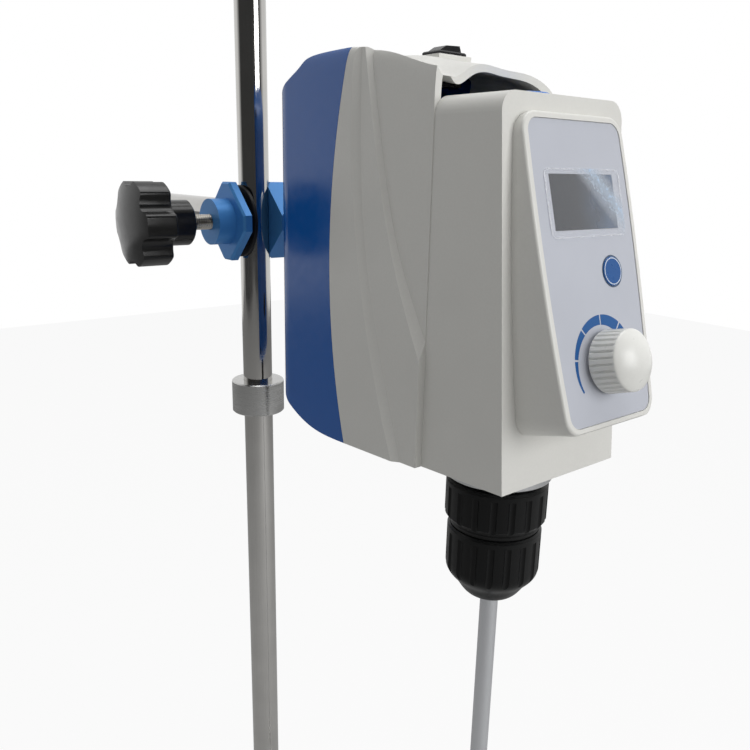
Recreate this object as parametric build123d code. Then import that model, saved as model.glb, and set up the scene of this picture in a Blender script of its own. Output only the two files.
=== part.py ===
from build123d import *
import os
from math import cos, radians, sin, tan

# Overhead stirrer on its stand, in millimetres.
# The stirring axis is the Z axis, the bench is z = 0, and the control panel faces -Y.

os.makedirs("parts", exist_ok=True)

# Fits
running_gap = 0.05
body_gap = 0.3
seam_gap = 0.15

# Stand
mat_thickness = 2.0
mat_inset = 4.0
plate_thickness = 12.0
plate_width = 200.0
plate_depth = 330.0
plate_corner = 14.0
plate_edge_round = 2.0
plate_rear_margin = 30.0
rod_diameter = 16.0
rod_length = 780.0
rod_end_chamfer = 1.0
rod_seat_depth = 8.0
rod_y = 160.0
socket_flange_diameter = 46.0
socket_flange_height = 6.0
socket_boss_diameter = 32.0
socket_height = 30.0
grub_diameter = 5.0
collar_diameter = 29.0
collar_height = 18.0
collar_top_z = 524.0

# Boss head that grips the upright rod and the horizontal arm
clamp_z = 612.0
arm_offset = 26.0
bar_half_height = 20.0
bar_flat_half = 4.0
bar_left_face = 17.0
bar_left_inner = 12.5
bar_right_inner = 5.0
notch_back = 11.0
boss_diameter = 23.3
boss_length = 9.3
bar_wall = 12.0
screw_diameter = 8.0
pad_diameter = 37.0
pad_thickness = 2.0
pad_travel = 2.0
arm_pad_diameter = 12.0
arm_pad_thickness = 4.0
screw_bare_length = 12.0
hub_diameter = 22.5
hub_length = 14.0
star_radius = 21.0
star_lobes = 6
star_scallop_radius = 6.0
star_thickness = 15.0
star_crown = 3.0

# Extension arm
arm_diameter = 16.0
arm_rear_y = 335.0
arm_socket_radius = 14.0

# Housing of the drive head
wall = 2.6
underside_z = 525.0
underside_drop = 6.0
front_foot_y = -32.4
front_lean = 4.9
front_half_width = 33.5
front_top_z = 666.5
front_corner = 7.0
ledge_back_y = 12.0
rear_y = 119.0
rear_half_width = 39.0
rear_corner = 14.0
step_depth = 2.0
seam_y = 71.0
seam_z = 601.0
seam_radius = 286.0
roof_z = 686.5
inlet_radius = 6.0
screw_boss_front_y = 38.0
screw_boss_back_y = 57.0
screw_boss_radius = 4.0
cover_screw_radius = 1.5
cover_head_radius = 2.9
cover_head_y = 100.0
rail_height = 8.0

# Sloping console on the front, its panel and what shows through it
panel_lean = 15.5
panel_top_y = -24.4
panel_top_z = 657.9
panel_length = 107.5
panel_top_half = 25.4
panel_mid_half = 26.1
panel_bottom_half = 23.2
panel_corner = 5.0
bezel_width = 2.6
bezel_rise = 0.3
bezel_round = 1.1
overlay_thickness = 0.6
panel_wall = 2.4
console_foot_y = -31.5
console_foot_z = 535.4
display_width = 35.8
display_height = 19.6
display_slope = 28.8
display_lip = 1.4
window_gap = 0.1
module_thickness = 5.0
board_thickness = 1.6
board_width = 42.0
board_length = 92.0
encoder_size = 12.0
encoder_bush_diameter = 9.0
encoder_rotor_diameter = 7.0
encoder_shaft_diameter = 5.0
encoder_bush_top = 1.0
button_diameter = 10.8
button_x = 10.9
button_slope = 54.3
button_proud = 0.4
button_travel = 0.5
knob_diameter = 23.2
knob_slope = 86.5
knob_rim_height = 11.0
knob_height = 15.5
knob_flutes = 30
knob_flute_radius = 0.5
knob_gap = 1.2
knob_travel = 0.8

# Top cap and power switch
cap_diameter = 20.0
cap_height = 2.0
cap_plug_diameter = 16.0
cap_plug_length = 8.5
switch_y = 44.5
switch_width = 15.0
switch_depth = 10.5
switch_seat_z = 685.3
switch_frame_height = 1.6
switch_frame_wall = 1.3
switch_body_depth = 12.0
rocker_radius = 6.1

# Spindle, its bearings and the belt drive
spindle_diameter = 15.0
spindle_bore = 10.4
spindle_low_z = 494.0
spindle_top_z = 650.0
neck_diameter = 46.0
neck_low_z = 516.0
neck_spigot_diameter = 38.0
seal_radius = 12.0
bearing_outer = 28.0
bearing_width = 7.0
quill_diameter = 38.0
quill_low_z = 528.0
quill_flange_diameter = 44.0
quill_flange_height = 5.0
shelf_low_z = 617.0
shelf_thickness = 4.0
shelf_half_width = 30.4
back_plate_y = 97.0
back_plate_thickness = 4.0
back_plate_low_z = 560.0
motor_y = 62.0
motor_diameter = 56.0
motor_low_z = 545.0
motor_wall = 2.0
motor_flange_height = 6.0
rotor_diameter = 31.0
air_gap = 0.5
motor_shaft_diameter = 6.0
driven_pulley_radius = 16.0
motor_pulley_radius = 8.0
pulley_low_z = 624.0
pulley_height = 12.0
pulley_flange = 1.6
belt_thickness = 1.2
belt_width = 8.0
belt_gap = 0.1

# Keyless chuck
sleeve_radius = 21.8
sleeve_top_z = 514.0
parting_z = 492.6
parting_gap = 0.6
lower_sleeve_radius = 20.4
sleeve_taper_z = 474.0
sleeve_mouth_z = 459.0
sleeve_flutes = 18
flute_depth = 0.9
flute_radius = 1.8
nut_height = 8.0
nut_inner_radius = 12.4
nut_outer_radius = 15.0
chuck_radius = 10.8
nose_radius = 5.6
nose_low_z = 457.0
jaw_tilt = 8.0
jaw_radius = 3.2
jaw_low_z = 463.0
jaw_low_reach = 5.6
jaw_length = 24.0
jaw_travel = 6.0

# Stirring shaft and impeller
shaft_diameter = 8.0
shaft_top_z = 500.0
shaft_length = 350.0
impeller_diameter = 50.0
impeller_hub_diameter = 14.0
impeller_hub_height = 14.0
impeller_blades = 4
blade_thickness = 1.6
blade_chord = 14.0
blade_pitch_root = 55.0
blade_pitch_tip = 35.0

# Worked-out places
MIN = (Align.CENTER, Align.CENTER, Align.MIN)
rod_x = -arm_offset
rod_radius = rod_diameter / 2
plate_top_z = mat_thickness + plate_thickness
plate_mid_y = rod_y + plate_rear_margin - plate_depth / 2
rod_low_z = plate_top_z - rod_seat_depth
arm_radius = arm_diameter / 2
screw_radius = screw_diameter / 2
panel_plane = Plane(
    origin=(0, panel_top_y, panel_top_z),
    x_dir=(1, 0, 0),
    z_dir=(0, -cos(radians(panel_lean)), sin(radians(panel_lean))),
)
panel_back = -(overlay_thickness + panel_wall)
board_face = panel_back - module_thickness
arm_front_y = back_plate_y + back_plate_thickness + 2.0
spindle_radius = spindle_diameter / 2
quill_radius = quill_diameter / 2
shaft_radius = shaft_diameter / 2
switch_floor_z = switch_seat_z - switch_body_depth
inlet_z = underside_z + 35
button_low = panel_back + 0.2
button_switch_top = button_low - button_travel - 0.05
encoder_floor = board_face + 1.0
nut_low_z = sleeve_taper_z + 3.0
nut_high_z = nut_low_z + nut_height


# Helpers

def disc(x, y, low_z, radius, height):
    """Upright cylinder standing on low_z."""
    return Pos(x, y, low_z) * Cylinder(radius, height, align=MIN)


def bar(start, end, radius):
    """Round bar between two points."""
    path = Vector(*end) - Vector(*start)
    return Plane(origin=start, z_dir=path) * Cylinder(radius, path.length, align=MIN)


def block(low, high):
    """Box between two corners."""
    size = [b - a for a, b in zip(low, high)]
    middle = [(a + b) / 2 for a, b in zip(low, high)]
    return Pos(*middle) * Box(*size)


def yz_face(*edges):
    """Face in the YZ plane from edges whose points are written as (y, z)."""
    return Plane.YZ * make_face(edges)


def spread_x(face, half_width):
    """Solid from a YZ face, spread the same way to both sides of x = 0."""
    return extrude(face, amount=half_width, dir=(1, 0, 0), both=True)


# Stand

def make_base_plate():
    plate = Pos(rod_x, plate_mid_y, mat_thickness) * extrude(
        RectangleRounded(plate_width, plate_depth, plate_corner), amount=plate_thickness
    )
    plate = fillet(plate.faces().sort_by(Axis.Z)[-1].edges(), plate_edge_round)
    return plate - disc(rod_x, rod_y, rod_low_z, rod_radius + running_gap, plate_thickness)


def make_base_mat():
    sheet = RectangleRounded(plate_width - 2 * mat_inset, plate_depth - 2 * mat_inset, plate_corner - mat_inset)
    return Pos(rod_x, plate_mid_y, 0) * extrude(sheet, amount=mat_thickness)


def make_rod_socket():
    flange = disc(rod_x, rod_y, plate_top_z, socket_flange_diameter / 2, socket_flange_height)
    flange = fillet(flange.faces().sort_by(Axis.Z)[-1].edges(), 1.5)
    boss = disc(rod_x, rod_y, plate_top_z, socket_boss_diameter / 2, socket_height)
    boss = chamfer(boss.faces().sort_by(Axis.Z)[-1].edges(), 1.5)
    bore = disc(rod_x, rod_y, plate_top_z, rod_radius + running_gap, socket_height)
    return flange + boss - bore - socket_grub_bar()


def socket_grub_bar():
    z = plate_top_z + (socket_flange_height + socket_height) / 2
    inner = (rod_x, rod_y + rod_radius + running_gap + body_gap, z)
    return bar(inner, (rod_x, rod_y + socket_boss_diameter / 2 + 1, z), grub_diameter / 2)


def make_socket_grub():
    z = plate_top_z + (socket_flange_height + socket_height) / 2
    outer_y = rod_y + socket_boss_diameter / 2 - 0.5
    screw = bar((rod_x, rod_y + rod_radius + running_gap + body_gap, z), (rod_x, outer_y, z), grub_diameter / 2)
    return screw - hex_key((rod_x, outer_y, z), (0, -1, 0), 2.5, 2.0)


def hex_key(mouth, inward, across_flats, depth):
    """Hexagon socket cut from its mouth along the inward direction."""
    flat = RegularPolygon(across_flats / 2, 6, major_radius=False)
    return Plane(origin=mouth, z_dir=inward) * extrude(flat, amount=depth)


def make_stand_rod():
    rod = disc(rod_x, rod_y, rod_low_z, rod_radius, rod_length)
    return chamfer(rod.edges().filter_by(GeomType.CIRCLE), rod_end_chamfer)


def make_stop_collar():
    low_z = collar_top_z - collar_height
    ring = disc(rod_x, rod_y, low_z, collar_diameter / 2, collar_height)
    ring = chamfer(ring.edges().filter_by(GeomType.CIRCLE), 0.6)
    ring -= disc(rod_x, rod_y, low_z, rod_radius + running_gap, collar_height)
    return ring - collar_grub_bar(1.0)


def collar_grub_bar(extra):
    z = collar_top_z - collar_height / 2
    start_y = rod_y + rod_radius + running_gap
    return bar((rod_x, start_y, z), (rod_x, rod_y + collar_diameter / 2 + extra, z), grub_diameter / 2)


def make_collar_grub():
    z = collar_top_z - collar_height / 2
    return collar_grub_bar(-0.5) - hex_key((rod_x, rod_y + collar_diameter / 2 - 0.5, z), (0, -1, 0), 2.5, 2.0)


# Boss head

def bar_section():
    """Diamond section with its four points cut flat, in the YZ plane about the clamp axis."""
    high = bar_half_height
    flat = bar_flat_half
    points = [(flat, high), (high, flat), (high, -flat), (flat, -high)]
    points += [(-y, z) for y, z in reversed(points)]
    return Pos(0, rod_y, clamp_z) * (Plane.YZ * make_face(Polyline(*points, close=True)))


def make_boss_head():
    left_x = rod_x - bar_left_face
    right_x = arm_radius + bar_wall
    body = Pos(left_x, 0, 0) * extrude(bar_section(), amount=right_x - left_x, dir=(1, 0, 0))
    body = chamfer(body.faces().filter_by(Axis.X).edges(), 1.0)
    body += bar((left_x - boss_length, rod_y, clamp_z), (left_x, rod_y, clamp_z), boss_diameter / 2)
    body += bar((right_x, rod_y, clamp_z), (right_x + boss_length, rod_y, clamp_z), boss_diameter / 2)
    tall = 2 * bar_half_height + 2
    notch_low = (rod_x - bar_left_inner, rod_y - tall, clamp_z - tall)
    notch_high = (rod_x + bar_right_inner, rod_y + notch_back, clamp_z + tall)
    body -= block(notch_low, notch_high)
    apex = (rod_radius + running_gap) / sin(radians(45))
    vee = make_face(Polyline((apex, 0), (0, apex), (0, -apex), close=True))
    body -= Pos(rod_x, rod_y, clamp_z - tall) * extrude(vee, amount=2 * tall)
    body -= bar((0, rod_y - tall, clamp_z), (0, rod_y + tall, clamp_z), arm_radius + running_gap)
    hole_radius = screw_radius + running_gap
    body -= bar((left_x - boss_length - 1, rod_y, clamp_z), (rod_x, rod_y, clamp_z), hole_radius)
    body -= bar((0, rod_y, clamp_z), (right_x + boss_length + 1, rod_y, clamp_z), hole_radius)
    pocket_end = arm_radius + arm_pad_thickness + pad_travel + body_gap
    body -= bar((0, rod_y, clamp_z), (pocket_end, rod_y, clamp_z), arm_pad_diameter / 2 + running_gap)
    return body


def make_rod_pad():
    face_x = rod_x - rod_radius - running_gap
    pad = bar((face_x - pad_thickness, rod_y, clamp_z), (face_x, rod_y, clamp_z), pad_diameter / 2)
    pad = fillet(pad.edges().filter_by(GeomType.CIRCLE), 0.5)
    reach = pad_diameter
    flat_y = rod_y + notch_back - body_gap
    return pad - block((rod_x - reach, flat_y, clamp_z - reach), (rod_x, flat_y + reach, clamp_z + reach))


def make_arm_pad():
    face_x = arm_radius + running_gap
    return bar((face_x, rod_y, clamp_z), (face_x + arm_pad_thickness, rod_y, clamp_z), arm_pad_diameter / 2)


def clamp_screw(tip_x, hub_x, outward):
    """Threaded screw from the pad's back to the inside of the knob's hub."""
    end_x = hub_x + outward * (hub_length - 2)
    screw = bar((tip_x, rod_y, clamp_z), (end_x, rod_y, clamp_z), screw_radius)
    return chamfer(screw.edges().filter_by(GeomType.CIRCLE), 0.5)


def star_knob(hub_x, outward):
    """Star knob with rounded lobes, a crowned face and a plain hub, on a screw along X."""
    height = star_thickness + star_crown
    head = Cylinder(star_radius, height, align=MIN)
    scallops = []
    for index in range(star_lobes):
        scallop = Pos(star_radius + 2.2, 0, 0) * Cylinder(star_scallop_radius, height, align=MIN)
        scallops.append(Rot(0, 0, 360 / star_lobes * (index + 0.5)) * scallop)
    head = head.cut(*scallops)
    head = fillet(head.edges().filter_by(Axis.Z), 2.5)
    head = Pos(0, 0, hub_length) * head
    crown_radius = (star_radius ** 2 + star_crown ** 2) / (2 * star_crown)
    head &= Pos(0, 0, hub_length + star_thickness + star_crown - crown_radius) * Sphere(crown_radius)
    head = fillet(head.faces().sort_by(Axis.Z)[0].edges(), 1.0)
    hub = Cylinder(hub_diameter / 2, hub_length + 1, align=MIN)
    hub = chamfer(hub.faces().sort_by(Axis.Z)[0].edges(), 0.8)
    knob = hub + head - Cylinder(screw_radius, hub_length - 2, align=MIN)
    return Plane(origin=(hub_x, rod_y, clamp_z), x_dir=(0, 1, 0), z_dir=(outward, 0, 0)) * knob


# Extension arm

def make_extension_arm():
    arm = bar((0, arm_front_y, clamp_z), (0, arm_rear_y, clamp_z), arm_radius)
    return chamfer(arm.edges().filter_by(GeomType.CIRCLE), rod_end_chamfer)


def make_arm_socket():
    plate_back = back_plate_y + back_plate_thickness
    flange = bar((0, plate_back, clamp_z), (0, plate_back + 4, clamp_z), arm_socket_radius + 5)
    nose = bar((0, plate_back, clamp_z), (0, rear_y + 2.5, clamp_z), arm_socket_radius)
    nose = chamfer(nose.faces().sort_by(Axis.Y)[-1].edges(), 0.8)
    bore = bar((0, arm_front_y - running_gap, clamp_z), (0, rear_y + 3, clamp_z), arm_radius + running_gap)
    return flange + nose - bore


# Housing forms, used whole for the outside and inset for the hollow

def side_profile(inset=0.0):
    """Outline of the head seen from the side, as (y, z), with a leaning front and rounded back."""
    lean = tan(radians(front_lean))
    low_y = 60.0
    foot_z = underside_z + inset
    low_z = underside_z - underside_drop + inset
    top_z = roof_z - inset
    back_y = rear_y - inset
    foot_y = front_foot_y + inset * (1 + lean)
    top_y = foot_y + (top_z - foot_z) * lean
    side_low_z = underside_z - underside_drop + 30
    side_top_z = roof_z - 34.5
    back_low = Spline(
        (low_y, low_z), (rear_y - 24, low_z + 2.5), (rear_y - 6 - 0.7 * inset, low_z + 12 - 0.3 * inset),
        (back_y, side_low_z),
        tangents=((low_y - foot_y, low_z - foot_z), (0, 1)),
    )
    back_top = Spline(
        (back_y, side_top_z), (back_y - 5.5, roof_z - 15.5 - 0.5 * inset), (rear_y - 23, top_z - 5.5),
        (62, top_z),
        tangents=((0, 1), (-1, 0)),
    )
    return yz_face(
        Line((foot_y, foot_z), (low_y, low_z)),
        back_low,
        Line((back_y, side_low_z), (back_y, side_top_z)),
        back_top,
        Line((62, top_z), (top_y, top_z)),
        Line((top_y, top_z), (foot_y, foot_z)),
    )


def arch_section(y, half_width, spring_z, crown_z):
    """Cross-section at depth y: flat floor, upright sides and an arched top."""
    rise = crown_z - spring_z
    right = [(1.0, 0.0), (0.8, 0.71), (0.5, 0.925)]
    arch = [(half_width * u, y, spring_z + rise * v) for u, v in right]
    arch.append((0, y, crown_z))
    arch += [(-x, y, z) for x, y, z in reversed(arch[:-1])]
    floor_z = underside_z - 2 * underside_drop
    top = Spline(*arch, tangents=((0, 0, 1), (0, 0, -1)))
    base = Polyline((-half_width, y, spring_z), (-half_width, y, floor_z), (half_width, y, floor_z), arch[0])
    return make_face([top, *base.edges()])


def arched_body(half_front, half_back, drop):
    """Body behind the ledge, whose shoulders rise and sharpen towards the back."""
    stations = [
        (ledge_back_y, 0.0, 664.0, 678.0),
        (22, 0.25, 668.0, 679.6),
        (30, 0.5, 673.5, 681.2),
        (38, 0.75, 677.5, 683.0),
        (46, 1.0, 679.0, 684.2),
    ]
    sections = []
    for y, share, spring_z, crown_z in stations:
        half = half_front + (half_back - half_front) * share
        sections.append(arch_section(y, half, spring_z - drop, crown_z - drop))
    sections.append(arch_section(60, half_back, 679.0 - drop, 685.5 - drop))
    back = extrude(sections[-1], amount=rear_y - 58, dir=(0, 1, 0))
    return loft(sections) + back


def plan_outline(inset):
    """Plan outline of the head, whose two back corners are rounded."""
    depth = rear_y - inset + 80
    outline = Pos(0, rear_y - inset - depth / 2) * Rectangle(2 * (rear_half_width - inset), depth)
    outline = fillet(outline.vertices().group_by(Axis.Y)[-1], rear_corner - inset)
    return Pos(0, 0, underside_z - 40) * extrude(outline, amount=250)


def front_block(inset):
    """Block under the ledge, with rounded top corners."""
    low_z = underside_z - 2 * underside_drop
    height = front_top_z - inset - low_z
    half = front_half_width - inset
    outline = Pos(0, low_z + height / 2) * Rectangle(2 * half, height)
    outline = fillet(outline.vertices().group_by(Axis.Y)[-1], front_corner - inset / 2)
    back_y = ledge_back_y + 1.0 + 2 * inset
    return Pos(0, back_y, 0) * (Plane.XZ * extrude(outline, amount=back_y + 50))


def side_step(foot, crest, foot_x, crest_x):
    """Raised panel on the left side, behind a curved slope from foot to crest."""
    back_y = rear_y + 10
    faces = []
    for x, curve in ((foot_x, foot), (crest_x, crest)):
        points = [(-x, y, z) for y, z in curve]
        top = (-x, back_y, points[0][2])
        low = (-x, back_y, points[-1][2])
        faces.append(make_face([Spline(*points), *Polyline(points[-1], low, top, points[0]).edges()]))
    return loft(faces, ruled=True)


def housing_outside():
    """Outside of the head's two shells together, without the console."""
    waist = rear_half_width - 2 * step_depth
    body = arched_body(front_half_width + 0.4, waist, 0)
    steps = [
        side_step(
            [(46.2, 690), (37.5, 646), (26, 606.5), (12.3, 581.5), (-2.7, 551.6), (-25, 508)],
            [(50.5, 690), (43.2, 652), (31.4, 609), (10.4, 564), (-21, 508)],
            waist - 4, waist + step_depth,
        ),
        side_step(
            [(49, 690), (47.9, 645), (44, 605), (31.6, 563), (14.5, 508)],
            [(54.5, 690), (56, 655), (51.3, 607), (38, 554.7), (19, 508)],
            waist, rear_half_width,
        ),
    ]
    for step in steps:
        body += step
        body += mirror(step, about=Plane.YZ)
    body &= arched_body(rear_half_width, rear_half_width, 0)
    body += front_block(0)
    body &= spread_x(side_profile(), rear_half_width + 5)
    return body & plan_outline(0)


# Console

def on_panel(x, slope, height=0.0):
    """Point above the panel's surface, by its distance down the slope."""
    return panel_plane.from_local_coords((x, -slope, height))


def panel_outline(margin):
    """Panel outline in its own plane, a little wider above the middle than at the foot."""
    middle = panel_length * 0.42
    sides = []
    for side in (1, -1):
        sides.append(
            ThreePointArc(
                (side * panel_top_half, 0), (side * panel_mid_half, -middle), (side * panel_bottom_half, -panel_length)
            )
        )
    top = Line((-panel_top_half, 0), (panel_top_half, 0))
    foot = Line((-panel_bottom_half, -panel_length), (panel_bottom_half, -panel_length))
    face = make_face([top, *sides, foot])
    face = fillet(face.vertices(), panel_corner)
    return offset(face, amount=margin) if margin else face


def panel_plate(margin, low, high):
    """Plate with the panel's outline between two heights over its surface."""
    return panel_plane.offset(low) * extrude(panel_outline(margin), amount=high - low)


def console_underside(drop):
    """Everything below the console's sloping underside, moved down the slope's normal by drop."""
    foot = on_panel(0, panel_length + bezel_width, bezel_rise - 2 * bezel_round)
    along = Vector(0, foot.Y - console_foot_y, foot.Z - console_foot_z).normalized()
    down = Vector(0, -along.Z, along.Y)
    start = Vector(0, console_foot_y, console_foot_z) + down * drop - along * 60
    end = start + along * 150
    deep = down * 100
    corners = [start, end, end + deep, start + deep]
    return spread_x(yz_face(Polyline(*[(p.Y, p.Z) for p in corners], close=True)), 60)


def console_block():
    block_depth = 42.0
    body = panel_plate(bezel_width, bezel_rise - block_depth, bezel_rise)
    rim = body.faces().sort_by(Axis(panel_plane.origin, panel_plane.z_dir))[-1]
    return fillet(rim.edges(), bezel_round) - console_underside(0)


def console_hollow():
    """Room behind the panel for the control board."""
    hollow = panel_plate(bezel_width - wall - 0.4, -40, panel_back)
    return hollow - console_underside(-wall)


def window_opening(margin, low, high):
    """Opening for the display, between two heights over the panel."""
    plate = Rectangle(display_width + 2 * margin, display_height + 2 * margin)
    return panel_plane.offset(low) * (Pos(0, -display_slope) * extrude(plate, amount=high - low))


def panel_bar(x, slope, low, high, radius):
    """Round bar square to the panel, between two heights over it."""
    return bar(on_panel(x, slope, low), on_panel(x, slope, high), radius)


# Main housing and rear cover

def seam_drum(radius):
    """Drum whose curved face is the seam between the two shells."""
    y = seam_y - seam_radius
    return bar((-60, y, seam_z), (60, y, seam_z), radius)


def inner_profile():
    """Side outline of the head's inside, spread across its width."""
    return spread_x(side_profile(wall), rear_half_width)


def housing_rooms():
    """Rooms inside the main housing: under the ledge and at the waist."""
    waist = rear_half_width - 2 * step_depth - wall
    limits = inner_profile() & plan_outline(wall)
    return [front_block(wall) & limits, arched_body(front_half_width - wall, waist, wall) & limits]


def cover_room():
    """Room inside the rear cover."""
    start = arch_section(seam_y - 25, rear_half_width - wall, 679.0 - wall, 685.5 - wall)
    room = extrude(start, amount=rear_y, dir=(0, 1, 0))
    return room & inner_profile() & plan_outline(wall)


def cover_screw_places():
    """X and Z of the four screws that hold the rear cover."""
    return [(x, z) for x in (-29.5, 29.5) for z in (underside_z + 8, front_top_z + 1.5)]


def shelf_screw_places():
    """X and Y of the four screws that hold the chassis on the housing's rails."""
    return [(x, y) for x in (-27.5, 27.5) for y in (-9.0, 34.0)]


def make_main_housing(outside):
    shell = outside & seam_drum(seam_radius - seam_gap / 2)
    shell += console_block()
    shell = shell.cut(*housing_rooms())
    shell -= console_hollow() - block((-60, 10, 400), (60, 60, 700))
    for x, z in cover_screw_places():
        shell += bar((x, screw_boss_front_y, z), (x, screw_boss_back_y, z), screw_boss_radius)
        shell -= bar((x, screw_boss_front_y + 3, z), (x, seam_y + 5, z), cover_screw_radius)
    for x, y in shelf_screw_places():
        side = 1 if x > 0 else -1
        low, high = sorted((x - side * 2.2, x + side * 5.8))
        shell += block((low, y - 5, shelf_low_z - rail_height), (high, y + 5, shelf_low_z))
        shell -= disc(x, y, shelf_low_z - rail_height + 1, cover_screw_radius, rail_height)
    shell -= panel_plate(seam_gap, -overlay_thickness, 5)
    shell -= window_opening(-display_lip, panel_back - 1, 1)
    shell -= panel_bar(button_x, button_slope, panel_back - 1, 1, button_diameter / 2 + 0.07)
    shell -= panel_bar(0, knob_slope, panel_back - 1, 1, encoder_bush_diameter / 2 + 0.1)
    shell -= disc(0, 0, underside_z - 20, neck_spigot_diameter / 2 + 0.1, 30)
    shell -= disc(0, 0, front_top_z - 10, cap_plug_diameter / 2 + 0.08, 20)
    seat_half = switch_width / 2 + 1.5
    seat_low = (-seat_half, switch_y - switch_depth / 2 - 1.5, switch_seat_z - 4)
    seat_high = (seat_half, switch_y + switch_depth / 2 + 1.5, switch_seat_z)
    shell += block(seat_low, seat_high)
    return shell - switch_block(-0.9, switch_seat_z - 8, switch_seat_z + 5)


def make_rear_cover(outside):
    shell = outside - seam_drum(seam_radius + seam_gap / 2) - cover_room()
    for x, z in cover_screw_places():
        column = bar((x, screw_boss_back_y + 5, z), (x, rear_y + 5, z), screw_boss_radius)
        shell += column & outside - seam_drum(seam_radius + seam_gap / 2)
        shell -= bar((x, screw_boss_back_y, z), (x, rear_y + 5, z), cover_screw_radius + 0.2)
        shell -= bar((x, cover_head_y, z), (x, rear_y + 5, z), cover_head_radius + 0.2)
    shell -= bar((0, seam_y, clamp_z), (0, rear_y + 5, clamp_z), arm_socket_radius + 0.1)
    return shell - bar((0, rear_y - 10, inlet_z), (0, rear_y + 5, inlet_z), inlet_radius + 0.05)


def make_cover_screws():
    screws = []
    for x, z in cover_screw_places():
        head = bar((x, cover_head_y, z), (x, cover_head_y + 2.4, z), cover_head_radius)
        head -= hex_key((x, cover_head_y + 2.4, z), (0, -1, 0), 2.5, 1.5)
        screws.append(head + bar((x, screw_boss_front_y + 4, z), (x, cover_head_y + 0.5, z), cover_screw_radius))
    return screws


def make_power_inlet():
    face_y = rear_y + 0.6
    body = bar((0, rear_y - 12, inlet_z), (0, rear_y, inlet_z), inlet_radius)
    lip = bar((0, rear_y, inlet_z), (0, face_y, inlet_z), inlet_radius + 1)
    mouth = bar((0, rear_y - 9, inlet_z), (0, face_y, inlet_z), 2.8)
    pin = bar((0, rear_y - 9.5, inlet_z), (0, rear_y - 1, inlet_z), 1.0)
    return body + lip - mouth + pin


def make_top_cap():
    cap = disc(0, 0, front_top_z, cap_diameter / 2, cap_height)
    cap = fillet(cap.faces().sort_by(Axis.Z)[-1].edges(), 0.8)
    plug = disc(0, 0, front_top_z - cap_plug_length, cap_plug_diameter / 2, cap_plug_length)
    return cap + plug - disc(0, 0, front_top_z - cap_plug_length, cap_plug_diameter / 2 - 2, cap_plug_length - 1)


# Power switch

def switch_block(margin, low_z, high_z):
    """Upright block with the switch's outline."""
    half_x = switch_width / 2 + margin
    half_y = switch_depth / 2 + margin
    return block((-half_x, switch_y - half_y, low_z), (half_x, switch_y + half_y, high_z))


def make_switch_frame():
    top_z = switch_seat_z + switch_frame_height
    frame = switch_block(0, switch_seat_z, top_z)
    frame = chamfer(frame.faces().sort_by(Axis.Z)[-1].edges(), 0.5)
    frame += switch_block(-1.0, switch_floor_z, switch_seat_z + 0.1)
    return frame - switch_block(-switch_frame_wall, switch_floor_z + 1.5, top_z + 1)


def make_rocker():
    """Rocker whose drum clears the frame at both ends of its travel, raised at its right end."""
    pivot_z = switch_seat_z + switch_frame_height - 1.0
    half_y = switch_depth / 2 - switch_frame_wall - 0.25
    r = rocker_radius
    drum = Circle(r) & Pos(0, -r / 2) * Rectangle(2 * r, r)
    drum += Circle(r) & Pos(r / 2, r / 4) * Rectangle(r, r / 2)
    top = [(-r, 0), (-r, 1.0), (-2.4, 3.2), (5.2, 3.6), (0.86 * r, r / 2), (0.86 * r, 0)]
    profile = Pos(0, pivot_z) * (drum + make_face(Polyline(*top, close=True)))
    return Pos(0, switch_y + half_y, 0) * (Plane.XZ * extrude(profile, amount=2 * half_y))


# Panel pieces

def make_panel_overlay():
    plate = panel_plate(0, -overlay_thickness, 0)
    plate -= window_opening(window_gap, -overlay_thickness - 1, 1)
    plate -= panel_bar(button_x, button_slope, -overlay_thickness - 1, 1, button_diameter / 2 + 0.07)
    return plate - panel_bar(0, knob_slope, -overlay_thickness - 1, 1, encoder_bush_diameter / 2 + 0.1)


def make_display_window():
    plate = window_opening(0, -overlay_thickness, 0)
    return plate


def make_display_module():
    glass = Rectangle(display_width + 2, display_height + 2)
    body = Pos(0, -display_slope) * extrude(glass, amount=module_thickness)
    return panel_plane.offset(board_face) * body


def make_control_board():
    plate = Pos(0, -panel_length / 2) * Rectangle(board_width, board_length)
    board = panel_plane.offset(board_face - board_thickness) * extrude(plate, amount=board_thickness)
    reach = button_switch_top - board_face - 1.5
    switch_body = panel_plane.offset(board_face) * (
        Pos(button_x, -button_slope) * extrude(Rectangle(6, 6), amount=reach)
    )
    plunger = panel_bar(button_x, button_slope, board_face, button_switch_top, 1.7)
    connector = panel_plane.offset(board_face - board_thickness - 5) * (
        Pos(-8, -panel_length / 2) * extrude(Rectangle(16, 5), amount=5)
    )
    return board + switch_body + plunger + connector


def board_post_places():
    """X and slope of the four posts that hold the control board."""
    half = board_width / 2 - 3
    return [(x, panel_length / 2 + s) for x in (-half, half) for s in (3 - board_length / 2, board_length / 2 - 3)]


def make_board_posts():
    return [panel_bar(x, slope, board_face, panel_back, 2.2) for x, slope in board_post_places()]


def make_round_button():
    cap = panel_bar(button_x, button_slope, button_low, button_proud, button_diameter / 2)
    return fillet(cap.faces().sort_by(Axis(panel_plane.origin, panel_plane.z_dir))[-1].edges(), 0.3)


def make_encoder_body():
    base = panel_plane.offset(board_face) * (
        Pos(0, -knob_slope) * extrude(Rectangle(encoder_size, encoder_size), amount=panel_back - board_face - 0.2)
    )
    bush = panel_bar(0, knob_slope, board_face, encoder_bush_top, encoder_bush_diameter / 2)
    bore = panel_bar(0, knob_slope, encoder_floor, 3, encoder_rotor_diameter / 2 + running_gap)
    return base + bush - bore


def make_encoder_rotor():
    tube = panel_bar(0, knob_slope, encoder_floor, encoder_bush_top, encoder_rotor_diameter / 2)
    return tube - panel_bar(0, knob_slope, encoder_floor - 1, 3, encoder_shaft_diameter / 2 + running_gap)


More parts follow.
